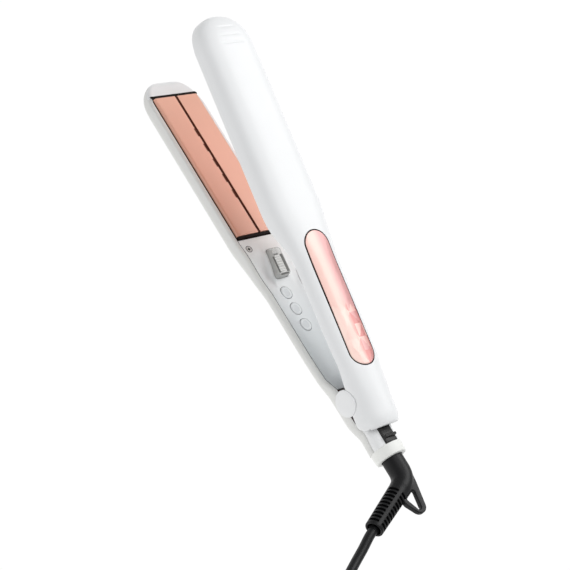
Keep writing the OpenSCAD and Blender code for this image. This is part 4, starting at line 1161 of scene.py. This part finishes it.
def build_plug():
    turn = Matrix.Translation(PLUG_EXIT) @ Matrix.Rotation(math.radians(PLUG_TURN), 4, "Z")
    body = loft([[(x, y, z) for x, y in rounded_rect_points(PLUG_X, 0, PLUG_L - 2 * inset, PLUG_W - 2 * inset,
                                                            6 - inset * 0.5, 8)]
                 for inset, z in PLUG_PROFILE])
    profile = [(0.0, 2.9), (0.0, 4.3), (0.4, 4.6)]
    for k in range(4):
        profile += [(x + 2.2 * k, r + 0.4 * k) for x, r in ((1.6, 4.7), (1.9, 4.1), (2.7, 4.1), (3.0, 4.8))]
    neck = turned_x(0, 0, profile + [(10.6, 6.4)], 40)
    ob = object_of("plug_shell", joined(body, neck))
    move(ob, lambda p: turn @ p)
    return finished(ob, SOFT_BLACK, "root", ["plug_body"], angle=38)


build_lower_shell()
build_lower_cover()
build_plate_lines()
build_screw_shades()
for i, key in enumerate(("power", "up", "down")):
    build_button(key + "_button", i, key + "_key")
build_tank()
build_upper_shell()
build_inlay()
build_tail_cover()
build_slider()
build_collar()
build_relief()
cord_ob, cord_path = build_cord()
plug_ob = build_plug()

# White ground on which no shadow shows, and pale surroundings
FLOOR_HALF, FLOOR_Z = 3, -0.0002
floor_me = bpy.data.meshes.new("floor")
corners = [(x * FLOOR_HALF, y * FLOOR_HALF, FLOOR_Z) for x, y in ((-1, -1), (1, -1), (1, 1), (-1, 1))]
floor_me.from_pydata(corners, [], [(0, 1, 2, 3)])
floor = bpy.data.objects.new("floor", floor_me)
bpy.context.scene.collection.objects.link(floor)
paper = bpy.data.materials.new("paper")
paper.use_nodes = True
for key, value in (("Base Color", (0, 0, 0, 1)), ("Roughness", 1), ("Specular IOR Level", 0),
                   ("Emission Color", (1, 1, 1, 1)), ("Emission Strength", 1.02)):
    paper.node_tree.nodes["Principled BSDF"].inputs[key].default_value = value
floor_me.materials.append(paper)

world = bpy.data.worlds.new("studio")
bpy.context.scene.world = world
world.use_nodes = True
world.node_tree.nodes["Background"].inputs["Color"].default_value = (0.97, 0.985, 1.0, 1)
world.node_tree.nodes["Background"].inputs["Strength"].default_value = 0.42


def lamp(name, place, target, size, power_w):
    """A soft rectangular lamp that looks at a target."""
    light = bpy.data.lights.new(name, "AREA")
    light.shape, light.size, light.size_y = "RECTANGLE", size[0], size[1]
    light.energy = power_w
    ob = bpy.data.objects.new(name, light)
    ob.location = place
    ob.rotation_mode = "QUATERNION"
    ob.rotation_quaternion = (Vector(target) - Vector(place)).to_track_quat("-Z", "Y")
    bpy.context.scene.collection.objects.link(ob)


lamp("key", (0.25, -0.9, 1.1), (0.08, 0, 0.02), (0.9, 0.9), 10.5)
lamp("top", (-0.05, 0.1, 1.5), (0.08, 0, 0.02), (1.2, 0.8), 6.2)
lamp("side", (-0.32, 0.55, 0.08), (-0.04, 0, 0.02), (0.4, 0.12), 0.62)

# The camera was fitted to the photograph: its three axes and its place
right = Vector((-0.49378185, -0.73626432, 0.46270329))
down = Vector((-0.80371531, 0.18326118, -0.56608925))
ahead = Vector((0.33199576, -0.65140632, -0.68223795))
place = Vector((-0.21950, 0.60214, 0.64115))
cam_data = bpy.data.cameras.new("camera")
cam_data.sensor_width = 36
cam_data.lens = 95.293
cam_data.clip_start, cam_data.clip_end = 0.05, 10
cam = bpy.data.objects.new("camera", cam_data)
cam.matrix_world = Matrix([(right[i], -down[i], -ahead[i], place[i]) for i in range(3)] + [(0, 0, 0, 1)])
bpy.context.scene.collection.objects.link(cam)
bpy.context.scene.camera = cam
bpy.context.scene.view_settings.view_transform = "Standard"
